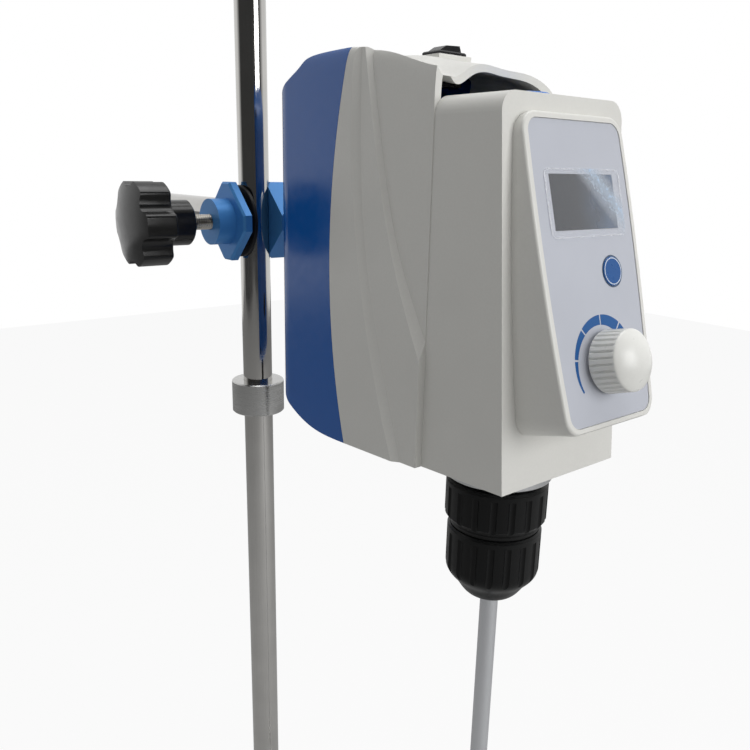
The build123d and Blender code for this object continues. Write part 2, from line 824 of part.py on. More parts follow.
def make_encoder_shaft():
    low = encoder_floor + knob_travel + 0.1
    return panel_bar(0, knob_slope, low, knob_rim_height - 1, encoder_shaft_diameter / 2)


def make_control_knob():
    radius = knob_diameter / 2
    height = knob_height - knob_gap
    rim = knob_rim_height - knob_gap
    rise = height - rim
    outline = make_face(
        [
            *Polyline((0, 0), (radius, 0), (radius - 0.4, rim)).edges(),
            Spline((radius - 0.4, rim), (radius * 0.72, rim + rise * 0.72), (0, height), tangents=((-0.3, 1), (-1, 0))),
            Line((0, height), (0, 0)),
        ]
    )
    knob = revolve(Plane.XZ * outline, Axis.Z)
    flutes = []
    for index in range(knob_flutes):
        groove = Pos(radius + 0.1, 0, 0) * Cylinder(knob_flute_radius, rim - 0.6, align=MIN)
        flutes.append(Rot(0, 0, 360 / knob_flutes * index) * groove)
    knob = knob.cut(*flutes)
    bush_room = encoder_bush_diameter / 2 + 1.0
    knob -= Cylinder(bush_room, encoder_bush_top + knob_travel, align=MIN)
    knob -= Cylinder(encoder_shaft_diameter / 2, knob_rim_height - 1 - knob_gap, align=MIN)
    place = Plane(origin=on_panel(0, knob_slope, knob_gap), x_dir=(1, 0, 0), z_dir=panel_plane.z_dir)
    return place * knob


# Chassis, spindle and drive

def make_chassis():
    back_y = back_plate_y + back_plate_thickness
    shelf = block((-shelf_half_width, -20, shelf_low_z), (shelf_half_width, back_y, shelf_low_z + shelf_thickness))
    plate_low = (-shelf_half_width + 4, back_plate_y, back_plate_low_z)
    plate = block(plate_low, (shelf_half_width - 4, back_y, shelf_low_z + shelf_thickness))
    body = shelf + plate
    body -= disc(0, 0, shelf_low_z - 1, spindle_radius + 2, 10)
    body -= disc(0, motor_y, shelf_low_z - 1, motor_shaft_diameter / 2 + 2, 10)
    for x, y in shelf_screw_places():
        body -= disc(x, y, shelf_low_z - 1, cover_screw_radius + 0.2, 10)
    return body


def make_chassis_screws():
    top_z = shelf_low_z + shelf_thickness
    screws = []
    for x, y in shelf_screw_places():
        head = disc(x, y, top_z, 2.6, 2.0) - hex_key((x, y, top_z + 2), (0, 0, -1), 2.5, 1.2)
        screws.append(head + disc(x, y, shelf_low_z - rail_height + 2, cover_screw_radius, rail_height + 3))
    return screws


def make_neck_flange():
    collar = disc(0, 0, neck_low_z, neck_diameter / 2, quill_low_z - neck_low_z)
    collar = fillet(collar.faces().sort_by(Axis.Z)[0].edges(), 1.0)
    collar -= spread_x(side_profile(), 60)
    spigot = disc(0, 0, neck_low_z + 2, neck_spigot_diameter / 2, quill_low_z - neck_low_z - 2)
    body = collar + spigot
    body -= disc(0, 0, neck_low_z - 1, spindle_radius + 1.5, 20)
    return body - disc(0, 0, neck_low_z + 2, seal_radius, 5)


def make_shaft_seal():
    ring = disc(0, 0, neck_low_z + 2, seal_radius, 5)
    return ring - disc(0, 0, neck_low_z, spindle_radius + running_gap, 10)


def make_quill():
    """Housing of the two spindle bearings, hung under the shelf."""
    tube = disc(0, 0, quill_low_z, quill_radius, shelf_low_z - quill_low_z)
    flange_z = shelf_low_z - quill_flange_height
    tube += disc(0, 0, flange_z, quill_flange_diameter / 2, quill_flange_height)
    tube -= disc(0, 0, quill_low_z - 1, bearing_outer / 2 - 2, 100)
    for z in bearing_places():
        open_low = z if z > seam_z else quill_low_z - 1
        open_high = shelf_low_z + 1 if z > seam_z else z + bearing_width
        tube -= disc(0, 0, open_low, bearing_outer / 2, open_high - open_low)
    return tube


def bearing_places():
    """Undersides of the two ball bearings on the spindle."""
    return [quill_low_z + 1.5, shelf_low_z - bearing_width - 3]


def make_bearing(low_z):
    inner = spindle_radius + running_gap
    outer = bearing_outer / 2
    ring = Pos(0, 0, low_z) * (Cylinder(outer, bearing_width, align=MIN) - Cylinder(inner, bearing_width, align=MIN))
    groove_outer = outer - 2.2
    groove = Cylinder(groove_outer, 0.8, align=MIN) - Cylinder(inner + 2.2, 0.8, align=MIN)
    return ring - Pos(0, 0, low_z) * groove - Pos(0, 0, low_z + bearing_width - 0.8) * groove


def make_spindle():
    tube = disc(0, 0, spindle_low_z, spindle_radius, spindle_top_z - spindle_low_z)
    tube = chamfer(tube.faces().sort_by(Axis.Z)[-1].edges(), 0.8)
    return tube - disc(0, 0, spindle_low_z - 1, spindle_bore / 2, spindle_top_z)


def make_retaining_ring():
    low_z = shelf_low_z + shelf_thickness + 0.6
    ring = disc(0, 0, low_z, spindle_radius + 2.5, 1.2)
    return ring - disc(0, 0, low_z - 1, spindle_radius, 4)


def pulley(x, y, radius, bore):
    """Flat belt pulley with a rim at each end."""
    rim = (pulley_height - belt_width) / 2 - 0.3
    body = disc(x, y, pulley_low_z, radius, pulley_height)
    body += disc(x, y, pulley_low_z, radius + pulley_flange, rim)
    body += disc(x, y, pulley_low_z + pulley_height - rim, radius + pulley_flange, rim)
    return body - disc(x, y, pulley_low_z - 1, bore, pulley_height + 2)


def make_drive_belt():
    low_z = pulley_low_z + (pulley_height - belt_width) / 2
    loops = []
    for extra in (belt_gap + belt_thickness, belt_gap):
        big = CenterArc((0, 0), driven_pulley_radius + extra, 0, 360)
        small = CenterArc((0, motor_y), motor_pulley_radius + extra, 0, 360)
        loops.append(make_hull([big, small]))
    return Pos(0, 0, low_z) * extrude(loops[0] - loops[1], amount=belt_width)


def make_motor_can():
    radius = motor_diameter / 2
    height = shelf_low_z - motor_flange_height - motor_low_z
    can = disc(0, motor_y, motor_low_z, radius, height)
    can = fillet(can.faces().sort_by(Axis.Z)[0].edges(), 2)
    can -= disc(0, motor_y, motor_low_z + motor_wall, radius - motor_wall, height)
    return can


def make_motor_flange():
    low_z = shelf_low_z - motor_flange_height
    body = disc(0, motor_y, low_z, motor_diameter / 2, motor_flange_height)
    return body - disc(0, motor_y, low_z - 1, motor_shaft_diameter / 2 + running_gap, motor_flange_height + 2)


def make_stator():
    low_z = motor_low_z + 8
    height = shelf_low_z - motor_flange_height - 6 - low_z
    ring = disc(0, motor_y, low_z, motor_diameter / 2 - motor_wall, height)
    return ring - disc(0, motor_y, low_z - 1, rotor_diameter / 2 + air_gap, height + 2)


def make_rotor():
    low_z = motor_low_z + 9
    height = shelf_low_z - motor_flange_height - 8 - low_z
    top_z = pulley_low_z + pulley_height + 2
    shaft_low_z = motor_low_z + motor_wall + 0.1
    shaft = disc(0, motor_y, shaft_low_z, motor_shaft_diameter / 2, top_z - shaft_low_z)
    return shaft + disc(0, motor_y, low_z, rotor_diameter / 2, height)


def make_drive_board():
    low_z = underside_z + 4.0
    board = block((-26, 30, low_z), (26, 94, low_z + board_thickness))
    top_z = low_z + board_thickness
    coil = disc(-14, 46, top_z, 6, 8)
    capacitor = disc(14, 46, top_z, 5, 10)
    heat_sink = block((-12, 60, top_z), (12, 84, top_z + 3))
    for index in range(6):
        x = -12 + 4.4 * index
        heat_sink += block((x, 60, top_z + 2), (x + 2, 84, top_z + 9))
    return board + coil + capacitor + heat_sink


def make_drive_board_posts():
    inside = inner_profile()
    posts = []
    for x in (-22, 22):
        for y in (35, 89):
            post = disc(x, y, underside_z - 10, 3, 14.0)
            posts.append(post & inside)
    return posts


# Chuck

def flutes(radius, low_z, high_z):
    """Ring of shallow upright grooves round a sleeve."""
    grooves = []
    for index in range(sleeve_flutes):
        centre = Pos(radius - flute_depth + flute_radius, 0, low_z)
        groove = centre * Cylinder(flute_radius, high_z - low_z, align=MIN)
        grooves.append(Rot(0, 0, 360 / sleeve_flutes * index) * groove)
    return grooves


def make_upper_sleeve():
    r = sleeve_radius
    low_z = parting_z + parting_gap / 2
    outline = Polyline(
        (chuck_radius, low_z + 5), (chuck_radius + 3.2, low_z + 5), (chuck_radius + 3.2, low_z),
        (r - 2.4, low_z), (r - 2.0, low_z + 1.6), (r, low_z + 4.6), (r, sleeve_top_z - 1.2),
        (r - 1.2, sleeve_top_z), (chuck_radius, sleeve_top_z), close=True,
    )
    sleeve = revolve(Plane.XZ * make_face(outline), Axis.Z)
    return sleeve.cut(*flutes(r, low_z + 3.4, sleeve_top_z - 3))


def make_tightening_sleeve():
    r = lower_sleeve_radius
    top_z = parting_z - parting_gap / 2
    inner = chuck_radius + running_gap
    outline = make_face(
        [
            *Polyline(
                (nut_outer_radius, nut_low_z), (nut_outer_radius, top_z), (r - 1.0, top_z), (r, top_z - 1.0),
                (r, sleeve_taper_z),
            ).edges(),
            Spline(
                (r, sleeve_taper_z), (r - 4.2, sleeve_taper_z - 7.5), (nose_radius + 3.0, sleeve_mouth_z),
                tangents=((0, -1), (-1, -0.25)),
            ),
            *Polyline(
                (nose_radius + 3.0, sleeve_mouth_z), (nose_radius + 0.4, sleeve_mouth_z),
                (inner, sleeve_mouth_z + 5.6), (inner, nut_low_z), (nut_outer_radius, nut_low_z),
            ).edges(),
        ]
    )
    sleeve = revolve(Plane.XZ * outline, Axis.Z)
    return sleeve.cut(*flutes(r, sleeve_taper_z - 8, top_z - 3))


def make_chuck_nut():
    ring = disc(0, 0, nut_low_z, nut_outer_radius, nut_high_z - nut_low_z)
    return ring - disc(0, 0, nut_low_z - 1, nut_inner_radius, 20)


def jaw_frame(index):
    """Frame of one jaw's inclined bore, with its Z axis up the bore."""
    lean = Rot(0, 0, 120 * index) * Pos(jaw_low_reach, 0, jaw_low_z) * Rot(0, jaw_tilt, 0)
    return lean


def make_chuck_body():
    outline = Polyline(
        (0, nose_low_z), (nose_radius, nose_low_z), (nose_radius, sleeve_mouth_z), (chuck_radius, jaw_low_z + 2),
        (chuck_radius, sleeve_top_z - 0.5), (0, sleeve_top_z - 0.5), close=True,
    )
    body = revolve(Plane.XZ * make_face(outline), Axis.Z)
    body -= disc(0, 0, nose_low_z - 1, spindle_bore / 2, 80)
    body -= disc(0, 0, spindle_low_z, spindle_radius, 40)
    for index in range(3):
        bore = Cylinder(jaw_radius + running_gap, jaw_length + jaw_travel + 1.5, align=MIN)
        body -= jaw_frame(index) * (Pos(0, 0, -0.5) * bore)
    return body


def make_jaw(index):
    jaw = jaw_frame(index) * Cylinder(jaw_radius, jaw_length, align=MIN)
    jaw -= disc(0, 0, jaw_low_z - 10, shaft_radius + running_gap, 60)
    room = Rot(0, 0, 120 * index) * block((-20, -20, jaw_low_z - 10), (shaft_radius + running_gap, 20, jaw_low_z + 60))
    return jaw - room


# Stirring shaft and impeller

def make_stirring_shaft():
    low_z = shaft_top_z - shaft_length
    shaft = disc(0, 0, low_z, shaft_radius, shaft_length)
    return chamfer(shaft.edges().filter_by(GeomType.CIRCLE), 0.6)


def make_impeller():
    low_z = shaft_top_z - shaft_length + 2
    hub = disc(0, 0, low_z, impeller_hub_diameter / 2, impeller_hub_height)
    hub = fillet(hub.edges().filter_by(GeomType.CIRCLE), 1.2)
    middle_z = low_z + impeller_hub_height / 2
    tip = impeller_diameter / 2
    stations = [
        (impeller_hub_diameter / 2 - 2, blade_pitch_root, blade_chord * 0.75),
        (tip * 0.6, (blade_pitch_root + blade_pitch_tip) / 2, blade_chord),
        (tip, blade_pitch_tip, blade_chord * 0.8),
    ]
    sections = []
    for reach, pitch, chord in stations:
        plane = Plane(origin=(reach, 0, middle_z), x_dir=(0, cos(radians(pitch)), sin(radians(pitch))), z_dir=(1, 0, 0))
        sections.append(plane * RectangleRounded(chord, blade_thickness, blade_thickness * 0.45))
    blade = loft(sections)
    body = hub
    for index in range(impeller_blades):
        body += Rot(0, 0, 360 / impeller_blades * index) * blade
    return body - disc(0, 0, low_z - 1, shaft_radius, impeller_hub_height + 2)


# All pieces, by name

def all_nodes():
    outside = housing_outside()
    left_hub_x = rod_x - bar_left_face - boss_length - screw_bare_length
    right_hub_x = arm_radius + bar_wall + boss_length + screw_bare_length
    low_bearing, high_bearing = bearing_places()
    nodes = {
        "base_mat": make_base_mat(),
        "base_plate": make_base_plate(),
        "rod_socket": make_rod_socket(),
        "socket_grub": make_socket_grub(),
        "stand_rod": make_stand_rod(),
        "stop_collar": make_stop_collar(),
        "collar_grub": make_collar_grub(),
        "boss_head": make_boss_head(),
        "rod_pad": make_rod_pad(),
        "rod_screw": clamp_screw(rod_x - rod_radius - running_gap - pad_thickness, left_hub_x, -1),
        "rod_star_knob": star_knob(left_hub_x, -1),
        "arm_pad": make_arm_pad(),
        "arm_screw": clamp_screw(arm_radius + running_gap + arm_pad_thickness, right_hub_x, 1),
        "arm_star_knob": star_knob(right_hub_x, 1),
        "extension_arm": make_extension_arm(),
        "arm_socket": make_arm_socket(),
        "main_housing": make_main_housing(outside),
        "rear_cover": make_rear_cover(outside),
        "cover_screws": make_cover_screws(),
        "power_inlet": make_power_inlet(),
        "top_cap": make_top_cap(),
        "switch_frame": make_switch_frame(),
        "rocker": make_rocker(),
        "panel_overlay": make_panel_overlay(),
        "display_window": make_display_window(),
        "display_module": make_display_module(),
        "control_board": make_control_board(),
        "board_posts": make_board_posts(),
        "round_button": make_round_button(),
        "encoder_body": make_encoder_body(),
        "encoder_rotor": make_encoder_rotor(),
        "encoder_shaft": make_encoder_shaft(),
        "control_knob": make_control_knob(),
        "chassis": make_chassis(),
        "chassis_screws": make_chassis_screws(),
        "neck_flange": make_neck_flange(),
        "shaft_seal": make_shaft_seal(),
        "quill": make_quill(),
        "lower_bearing": make_bearing(low_bearing),
        "upper_bearing": make_bearing(high_bearing),
        "spindle": make_spindle(),
        "retaining_ring": make_retaining_ring(),
        "driven_pulley": pulley(0, 0, driven_pulley_radius, spindle_radius),
        "drive_belt": make_drive_belt(),
        "motor_pulley": pulley(0, motor_y, motor_pulley_radius, motor_shaft_diameter / 2),
        "motor_can": make_motor_can(),
        "motor_flange": make_motor_flange(),
        "stator": make_stator(),
        "rotor": make_rotor(),
        "drive_board": make_drive_board(),
        "drive_board_posts": make_drive_board_posts(),
        "upper_sleeve": make_upper_sleeve(),
        "tightening_sleeve": make_tightening_sleeve(),
        "chuck_nut": make_chuck_nut(),
        "chuck_body": make_chuck_body(),
        "stirring_shaft": make_stirring_shaft(),
        "impeller": make_impeller(),
    }
    for index in range(3):
        nodes[f"jaw_{index + 1}"] = make_jaw(index)
    return nodes


for name, shape in all_nodes().items():
    pieces = shape if isinstance(shape, list) else [shape]
    export_step(Compound(children=[Part(piece.wrapped) for piece in pieces]), f"parts/{name}.step")
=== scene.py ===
"""Looks of an overhead stirrer on its stand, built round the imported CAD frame.

Every length is in metres. Z is the stirring axis, the bench is z = 0, and the control panel faces -Y.
"""

import logging
import math
from dataclasses import dataclass, field
from enum import Enum
from typing import Callable, Sequence

import bpy
from mathutils import Matrix, Vector


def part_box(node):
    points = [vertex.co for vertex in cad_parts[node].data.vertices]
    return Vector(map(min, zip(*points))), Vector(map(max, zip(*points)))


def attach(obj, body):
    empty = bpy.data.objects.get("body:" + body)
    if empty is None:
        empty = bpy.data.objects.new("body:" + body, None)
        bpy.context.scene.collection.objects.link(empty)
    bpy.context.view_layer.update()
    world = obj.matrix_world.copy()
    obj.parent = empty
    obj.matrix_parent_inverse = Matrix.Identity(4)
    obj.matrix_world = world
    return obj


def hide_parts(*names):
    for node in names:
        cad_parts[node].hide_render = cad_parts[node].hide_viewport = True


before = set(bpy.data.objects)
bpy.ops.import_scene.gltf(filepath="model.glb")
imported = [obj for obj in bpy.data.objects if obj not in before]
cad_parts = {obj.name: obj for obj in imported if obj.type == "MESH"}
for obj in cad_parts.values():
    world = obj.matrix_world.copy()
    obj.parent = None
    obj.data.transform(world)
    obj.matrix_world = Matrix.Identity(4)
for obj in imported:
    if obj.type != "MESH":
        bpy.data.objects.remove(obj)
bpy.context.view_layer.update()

LOG = logging.getLogger("stirrer")
Colour = tuple[float, float, float]
Station = tuple[float, float]
Socket = bpy.types.NodeSocket
MM = 0.001


# Finishes


class Marks(Enum):
    """Which way the tool marks of a metal run, as the stretch of its pattern."""

    UPRIGHT = (1.0, 1.0, 0.012)
    ALONG_ARM = (1.0, 0.012, 1.0)
    ALONG_SCREW = (0.05, 1.0, 1.0)
    RINGS = (0.02, 0.02, 1.0)
    GRAIN = (1.0, 1.0, 1.0)


class NodeBench:
    """Where one material's nodes are put together."""

    def __init__(self, name: str) -> None:
        """Starts a material that holds only the Principled shader.

        Args:
            name: The material's name.
        """
        self.material = bpy.data.materials.new(name)
        self.material.use_nodes = True
        self.tree = self.material.node_tree
        self.shader = self.tree.nodes["Principled BSDF"]
        self.object_place = self.add("ShaderNodeTexCoord").outputs["Object"]

    def add(self, kind: str, **settings: object) -> bpy.types.Node:
        """Adds a node and sets its own properties.

        Args:
            kind: The node's type.
            settings: Its properties by name.

        Returns:
            The new node.
        """
        node = self.tree.nodes.new(kind)
        for key, value in settings.items():
            setattr(node, key, value)
        return node

    def join(self, start: Socket, end: Socket) -> None:
        """Links one socket to another."""
        self.tree.links.new(start, end)

    def fixed(self, **values: object) -> None:
        """Sets the shader's own sockets, whose names have underscores for spaces."""
        for key, value in values.items():
            self.shader.inputs[key.replace("_", " ")].default_value = value

    def mapped(self, stretch: Sequence[float]) -> Socket:
        """Object coordinates, stretched.

        Args:
            stretch: Scale along X, Y and Z.

        Returns:
            The mapped coordinates.
        """
        mapping = self.add("ShaderNodeMapping")
        mapping.inputs["Scale"].default_value = stretch
        self.join(self.object_place, mapping.inputs["Vector"])
        return mapping.outputs["Vector"]

    def noise(self, size: float, detail: float = 2.0, place: Socket | None = None) -> Socket:
        """Soft noise whose blotches are about size across.

        Args:
            size: Blotch size in metres.
            detail: How many finer layers lie over it.
            place: Coordinates to read, or None for the object's own.

        Returns:
            The noise, from 0 to 1.
        """
        node = self.add("ShaderNodeTexNoise")
        node.inputs["Scale"].default_value = 1.0 / size
        node.inputs["Detail"].default_value = detail
        self.join(place or self.object_place, node.inputs["Vector"])
        return node.outputs["Fac"]

    def spread(self, value: Socket, low: float, high: float,
               start: float = 0.3, stop: float = 0.7) -> Socket:
        """Spreads a value from start to stop over low to high.

        Args:
            value: The socket to read.
            low: Result at start.
            high: Result at stop.
            start: Value that gives low.
            stop: Value that gives high.

        Returns:
            The spread value.
        """
        node = self.add("ShaderNodeMapRange")
        for key, number in (("From Min", start), ("From Max", stop), ("To Min", low), ("To Max", high)):
            node.inputs[key].default_value = number
        self.join(value, node.inputs["Value"])
        return node.outputs["Result"]

    def blend(self, share: Socket, first: Colour | Socket,
              second: Colour | Socket) -> Socket:
        """Mixes two colours by share.

        Args:
            share: 0 gives the first colour and 1 the second.
            first: A colour or a socket.
            second: A colour or a socket.

        Returns:
            The mixed colour.
        """
        node = self.add("ShaderNodeMix", data_type="RGBA")
        self.join(share, node.inputs["Factor"])
        for socket, colour in ((node.inputs[6], first), (node.inputs[7], second)):
            if isinstance(colour, Socket):
                self.join(colour, socket)
            else:
                socket.default_value = (*colour, 1.0)
        return node.outputs[2]

    def mottled(self, share: Socket, colour: Colour, amount: float) -> Socket:
        """A colour that goes from darker to lighter by amount as share goes from 0 to 1."""
        return self.blend(share, shaded(colour, 1 - amount), shaded(colour, 1 + amount))

    def combine(self, first: Socket, second: Socket, operation: str = "ADD") -> Socket:
        """Works out one number from two sockets.

        Args:
            first: The first number.
            second: The second number.
            operation: The Math node's operation.

        Returns:
            The result.
        """
        node = self.add("ShaderNodeMath", operation=operation)
        self.join(first, node.inputs[0])
        self.join(second, node.inputs[1])
        return node.outputs[0]

    def absolute(self, value: Socket) -> Socket:
        """The size of a number without its sign.

        Args:
            value: The socket to read.

        Returns:
            Its absolute value.
        """
        node = self.add("ShaderNodeMath", operation="ABSOLUTE")
        self.join(value, node.inputs[0])
        return node.outputs[0]

    def colour(self, socket: Socket) -> None:
        """Gives the shader its colour."""
        self.join(socket, self.shader.inputs["Base Color"])

    def rough(self, socket: Socket) -> None:
        """Gives the shader its roughness."""
        self.join(socket, self.shader.inputs["Roughness"])

    def relief(self, *layers: tuple[Socket, float]) -> None:
        """Raises the surface by layers of height.

        Args:
            layers: Pairs of a height from 0 to 1 and the metres that 1 stands for.
        """
        below = None
        for height, metres in layers:
            node = self.add("ShaderNodeBump")
            node.inputs["Strength"].default_value = 1.0
            node.inputs["Distance"].default_value = metres
            self.join(height, node.inputs["Height"])
            if below is not None:
                self.join(below, node.inputs["Normal"])
            below = node.outputs["Normal"]
        self.join(below, self.shader.inputs["Normal"])


def shaded(colour: Colour, factor: float) -> Colour:
    """A colour made lighter or darker by a factor."""
    return tuple(min(1.0, channel * factor) for channel in colour)


@dataclass(frozen=True)
class Finish:
    """A surface finish: what it is called, its colour and how rough it is."""

    name: str
    colour: Colour
    roughness: float

    def dress(self, bench: NodeBench) -> None:
        """Puts the finish's nodes on the bench."""
        raise NotImplementedError

    def material(self) -> bpy.types.Material:
        """The finish's material, made the first time it is asked for."""
        known = bpy.data.materials.get(self.name)
        if known:
            return known
        bench = NodeBench(self.name)
        self.dress(bench)
        return bench.material


@dataclass(frozen=True)
class MouldedPlastic(Finish):
    """Moulded plastic with a spark-eroded grain, faint sink marks and a little dust."""

    grain: float = 0.35 * MM
    grain_height: float = 0.012 * MM
    wave_height: float = 0.05 * MM
    mottle: float = 0.03
    shine: float = 0.5
    coat: float = 0.0

    def dress(self, bench: NodeBench) -> None:
        """Puts the plastic's nodes on the bench.

        Args:
            bench: Where the nodes are put.
        """
        broad = bench.noise(24 * MM, 3)
        speck = bench.noise(self.grain * 3, 2)
        tone = bench.combine(broad, speck, "MULTIPLY")
        bench.colour(bench.mottled(bench.spread(tone, 0, 1, 0.12, 0.40), self.colour, self.mottle))
        bench.rough(bench.spread(bench.noise(5 * MM, 4), self.roughness - 0.04, self.roughness + 0.06))
        bench.fixed(Specular_IOR_Level=self.shine, Coat_Weight=self.coat, Coat_Roughness=0.06)
        bench.relief(
            (bench.noise(18 * MM, 1), self.wave_height), (bench.noise(self.grain, 2), self.grain_height),
        )


@dataclass(frozen=True)
class GlossPaint(Finish):
    """Sprayed gloss paint with orange peel."""

    peel: float = 0.9 * MM
    peel_height: float = 0.008 * MM
    shine: float = 0.5

    def dress(self, bench: NodeBench) -> None:
        """Puts the paint's nodes on the bench.

        Args:
            bench: Where the nodes are put.
        """
        broad = bench.noise(14 * MM, 3)
        bench.colour(bench.mottled(bench.spread(broad, 0, 1), self.colour, 0.06))
        bench.rough(bench.spread(bench.noise(3 * MM, 4), self.roughness - 0.03, self.roughness + 0.05))
        bench.fixed(Specular_IOR_Level=self.shine, Coat_Weight=0.4, Coat_Roughness=0.05)
        bench.relief((bench.noise(self.peel, 1), self.peel_height))


@dataclass(frozen=True)
class PowderCoat(Finish):
    """Fine powder coat, speckled and slightly rough."""

    def dress(self, bench: NodeBench) -> None:
        """Puts the powder coat's nodes on the bench.

        Args:
            bench: Where the nodes are put.
        """
        speck = bench.noise(0.5 * MM, 2)
        dust = bench.noise(30 * MM, 4)
        base = bench.blend(
            bench.spread(speck, 0, 1, 0.35, 0.65), shaded(self.colour, 0.93), shaded(self.colour, 1.04),
        )
        bench.colour(bench.blend(bench.spread(dust, 0, 0.12), base, (0.7, 0.69, 0.66)))
        bench.rough(bench.spread(speck, self.roughness - 0.06, self.roughness + 0.08))
        bench.relief((bench.noise(1.1 * MM, 2), 0.05 * MM), (speck, 0.02 * MM))


@dataclass(frozen=True)
class BareMetal(Finish):
    """Bare metal whose tool marks run one way."""

    marks: Marks = Marks.GRAIN
    mark_size: float = 0.25 * MM
    mark_height: float = 0.002 * MM
    tone: float = 0.10

    def dress(self, bench: NodeBench) -> None:
        """Puts the metal's nodes on the bench.

        Args:
            bench: Where the nodes are put.
        """
        place = bench.mapped(self.marks.value)
        line = bench.noise(self.mark_size, 3, place)
        wear = bench.noise(20 * MM, 4)
        tone = bench.combine(line, wear, "MULTIPLY")
        bench.colour(bench.mottled(bench.spread(tone, 0, 1, 0.12, 0.40), self.colour, self.tone))
        both = bench.combine(line, wear)
        bench.rough(bench.spread(both, self.roughness * 0.7, self.roughness * 1.4, 0.8, 1.2))
        bench.fixed(Metallic=1.0)
        bench.relief((line, self.mark_height))


@dataclass(frozen=True)
class Rubber(Finish):
    """Matt rubber with a fine pimpled face."""

    def dress(self, bench: NodeBench) -> None:
        """Puts the rubber's nodes on the bench.

        Args:
            bench: Where the nodes are put.
        """
        pimple = bench.noise(0.6 * MM, 2)
        dust = bench.noise(16 * MM, 4)
        bench.colour(bench.blend(bench.spread(dust, 0, 0.5), self.colour, shaded(self.colour, 2.2)))
        bench.rough(bench.spread(pimple, self.roughness - 0.08, self.roughness + 0.06))
        bench.relief((pimple, 0.05 * MM))


@dataclass(frozen=True)
class CircuitBoard(Finish):
    """Circuit board under a green solder mask, with copper tracks showing through."""

    def dress(self, bench: NodeBench) -> None:
        """Puts the board's nodes on the bench.

        Args:
            bench: Where the nodes are put.
        """
        tracks = bench.add("ShaderNodeTexBrick", offset=0.3)
        tracks.inputs["Scale"].default_value = 260.0
        tracks.inputs["Mortar Size"].default_value = 0.06
        bench.join(bench.object_place, tracks.inputs["Vector"])
        bench.colour(bench.blend(tracks.outputs["Fac"], self.colour, shaded(self.colour, 1.8)))
        bench.rough(bench.spread(bench.noise(2 * MM, 3), self.roughness - 0.05, self.roughness + 0.1))
        bench.relief((tracks.outputs["Fac"], 0.03 * MM))


@dataclass(frozen=True)
class Laminate(Finish):
    """Stack of thin steel sheets or windings."""

    sheet: float = 0.5 * MM

    def dress(self, bench: NodeBench) -> None:
        """Puts the laminate's nodes on the bench.

        Args:
            bench: Where the nodes are put.
        """
        lines = bench.add("ShaderNodeTexWave", bands_direction="Z")
        lines.inputs["Scale"].default_value = 0.3 / self.sheet
        lines.inputs["Distortion"].default_value = 0.4
        bench.join(bench.object_place, lines.inputs["Vector"])
        bench.colour(bench.blend(lines.outputs["Fac"], shaded(self.colour, 0.6), shaded(self.colour, 1.3)))
        bench.rough(bench.spread(bench.noise(4 * MM, 3), self.roughness - 0.05, self.roughness + 0.1))
        bench.fixed(Metallic=0.8)
        bench.relief((lines.outputs["Fac"], 0.04 * MM))


@dataclass(frozen=True)
class PanelFilm(Finish):
    """Printed polyester film with a satin, finely pebbled face."""

    def dress(self, bench: NodeBench) -> None:
        """Puts the film's nodes on the bench.

        Args:
            bench: Where the nodes are put.
        """
        pebble = bench.noise(0.18 * MM, 2)
        cloud = bench.noise(28 * MM, 3)
        bench.colour(bench.mottled(bench.spread(cloud, 0, 1), self.colour, 0.025))
        bench.rough(bench.spread(pebble, self.roughness - 0.05, self.roughness + 0.07))
        bench.fixed(Specular_IOR_Level=0.45)
        bench.relief((cloud, 0.05 * MM), (pebble, 0.006 * MM))


@dataclass(frozen=True)
class DisplayGlass(Finish):
    """Dark display window with a painted reflection: its colour turns paler blue to one side."""

    # Light blue of the painted reflection.
    pale: Colour = (0.10, 0.17, 0.30)

    def dress(self, bench: NodeBench) -> None:
        """Puts the window's nodes on the bench.

        Args:
            bench: Where the nodes are put.
        """
        parts = bench.add("ShaderNodeSeparateXYZ")
        bench.join(bench.object_place, parts.inputs["Vector"])
        # Painted reflection: the colour runs to the light blue towards +X, broken up by soft noise.
        side = bench.spread(parts.outputs["X"], 0, 1, -4 * MM, 20 * MM)
        cloud = bench.spread(bench.noise(9 * MM, 3), 0.4, 1.0)
        bench.colour(bench.blend(bench.combine(side, cloud, "MULTIPLY"), self.colour, self.pale))
        bench.rough(bench.spread(bench.noise(4 * MM, 3), self.roughness, self.roughness + 0.05))
        bench.fixed(Specular_IOR_Level=0.6, Coat_Weight=1.0, Coat_Roughness=0.02)
        bench.relief((bench.noise(12 * MM, 1), 0.01 * MM))


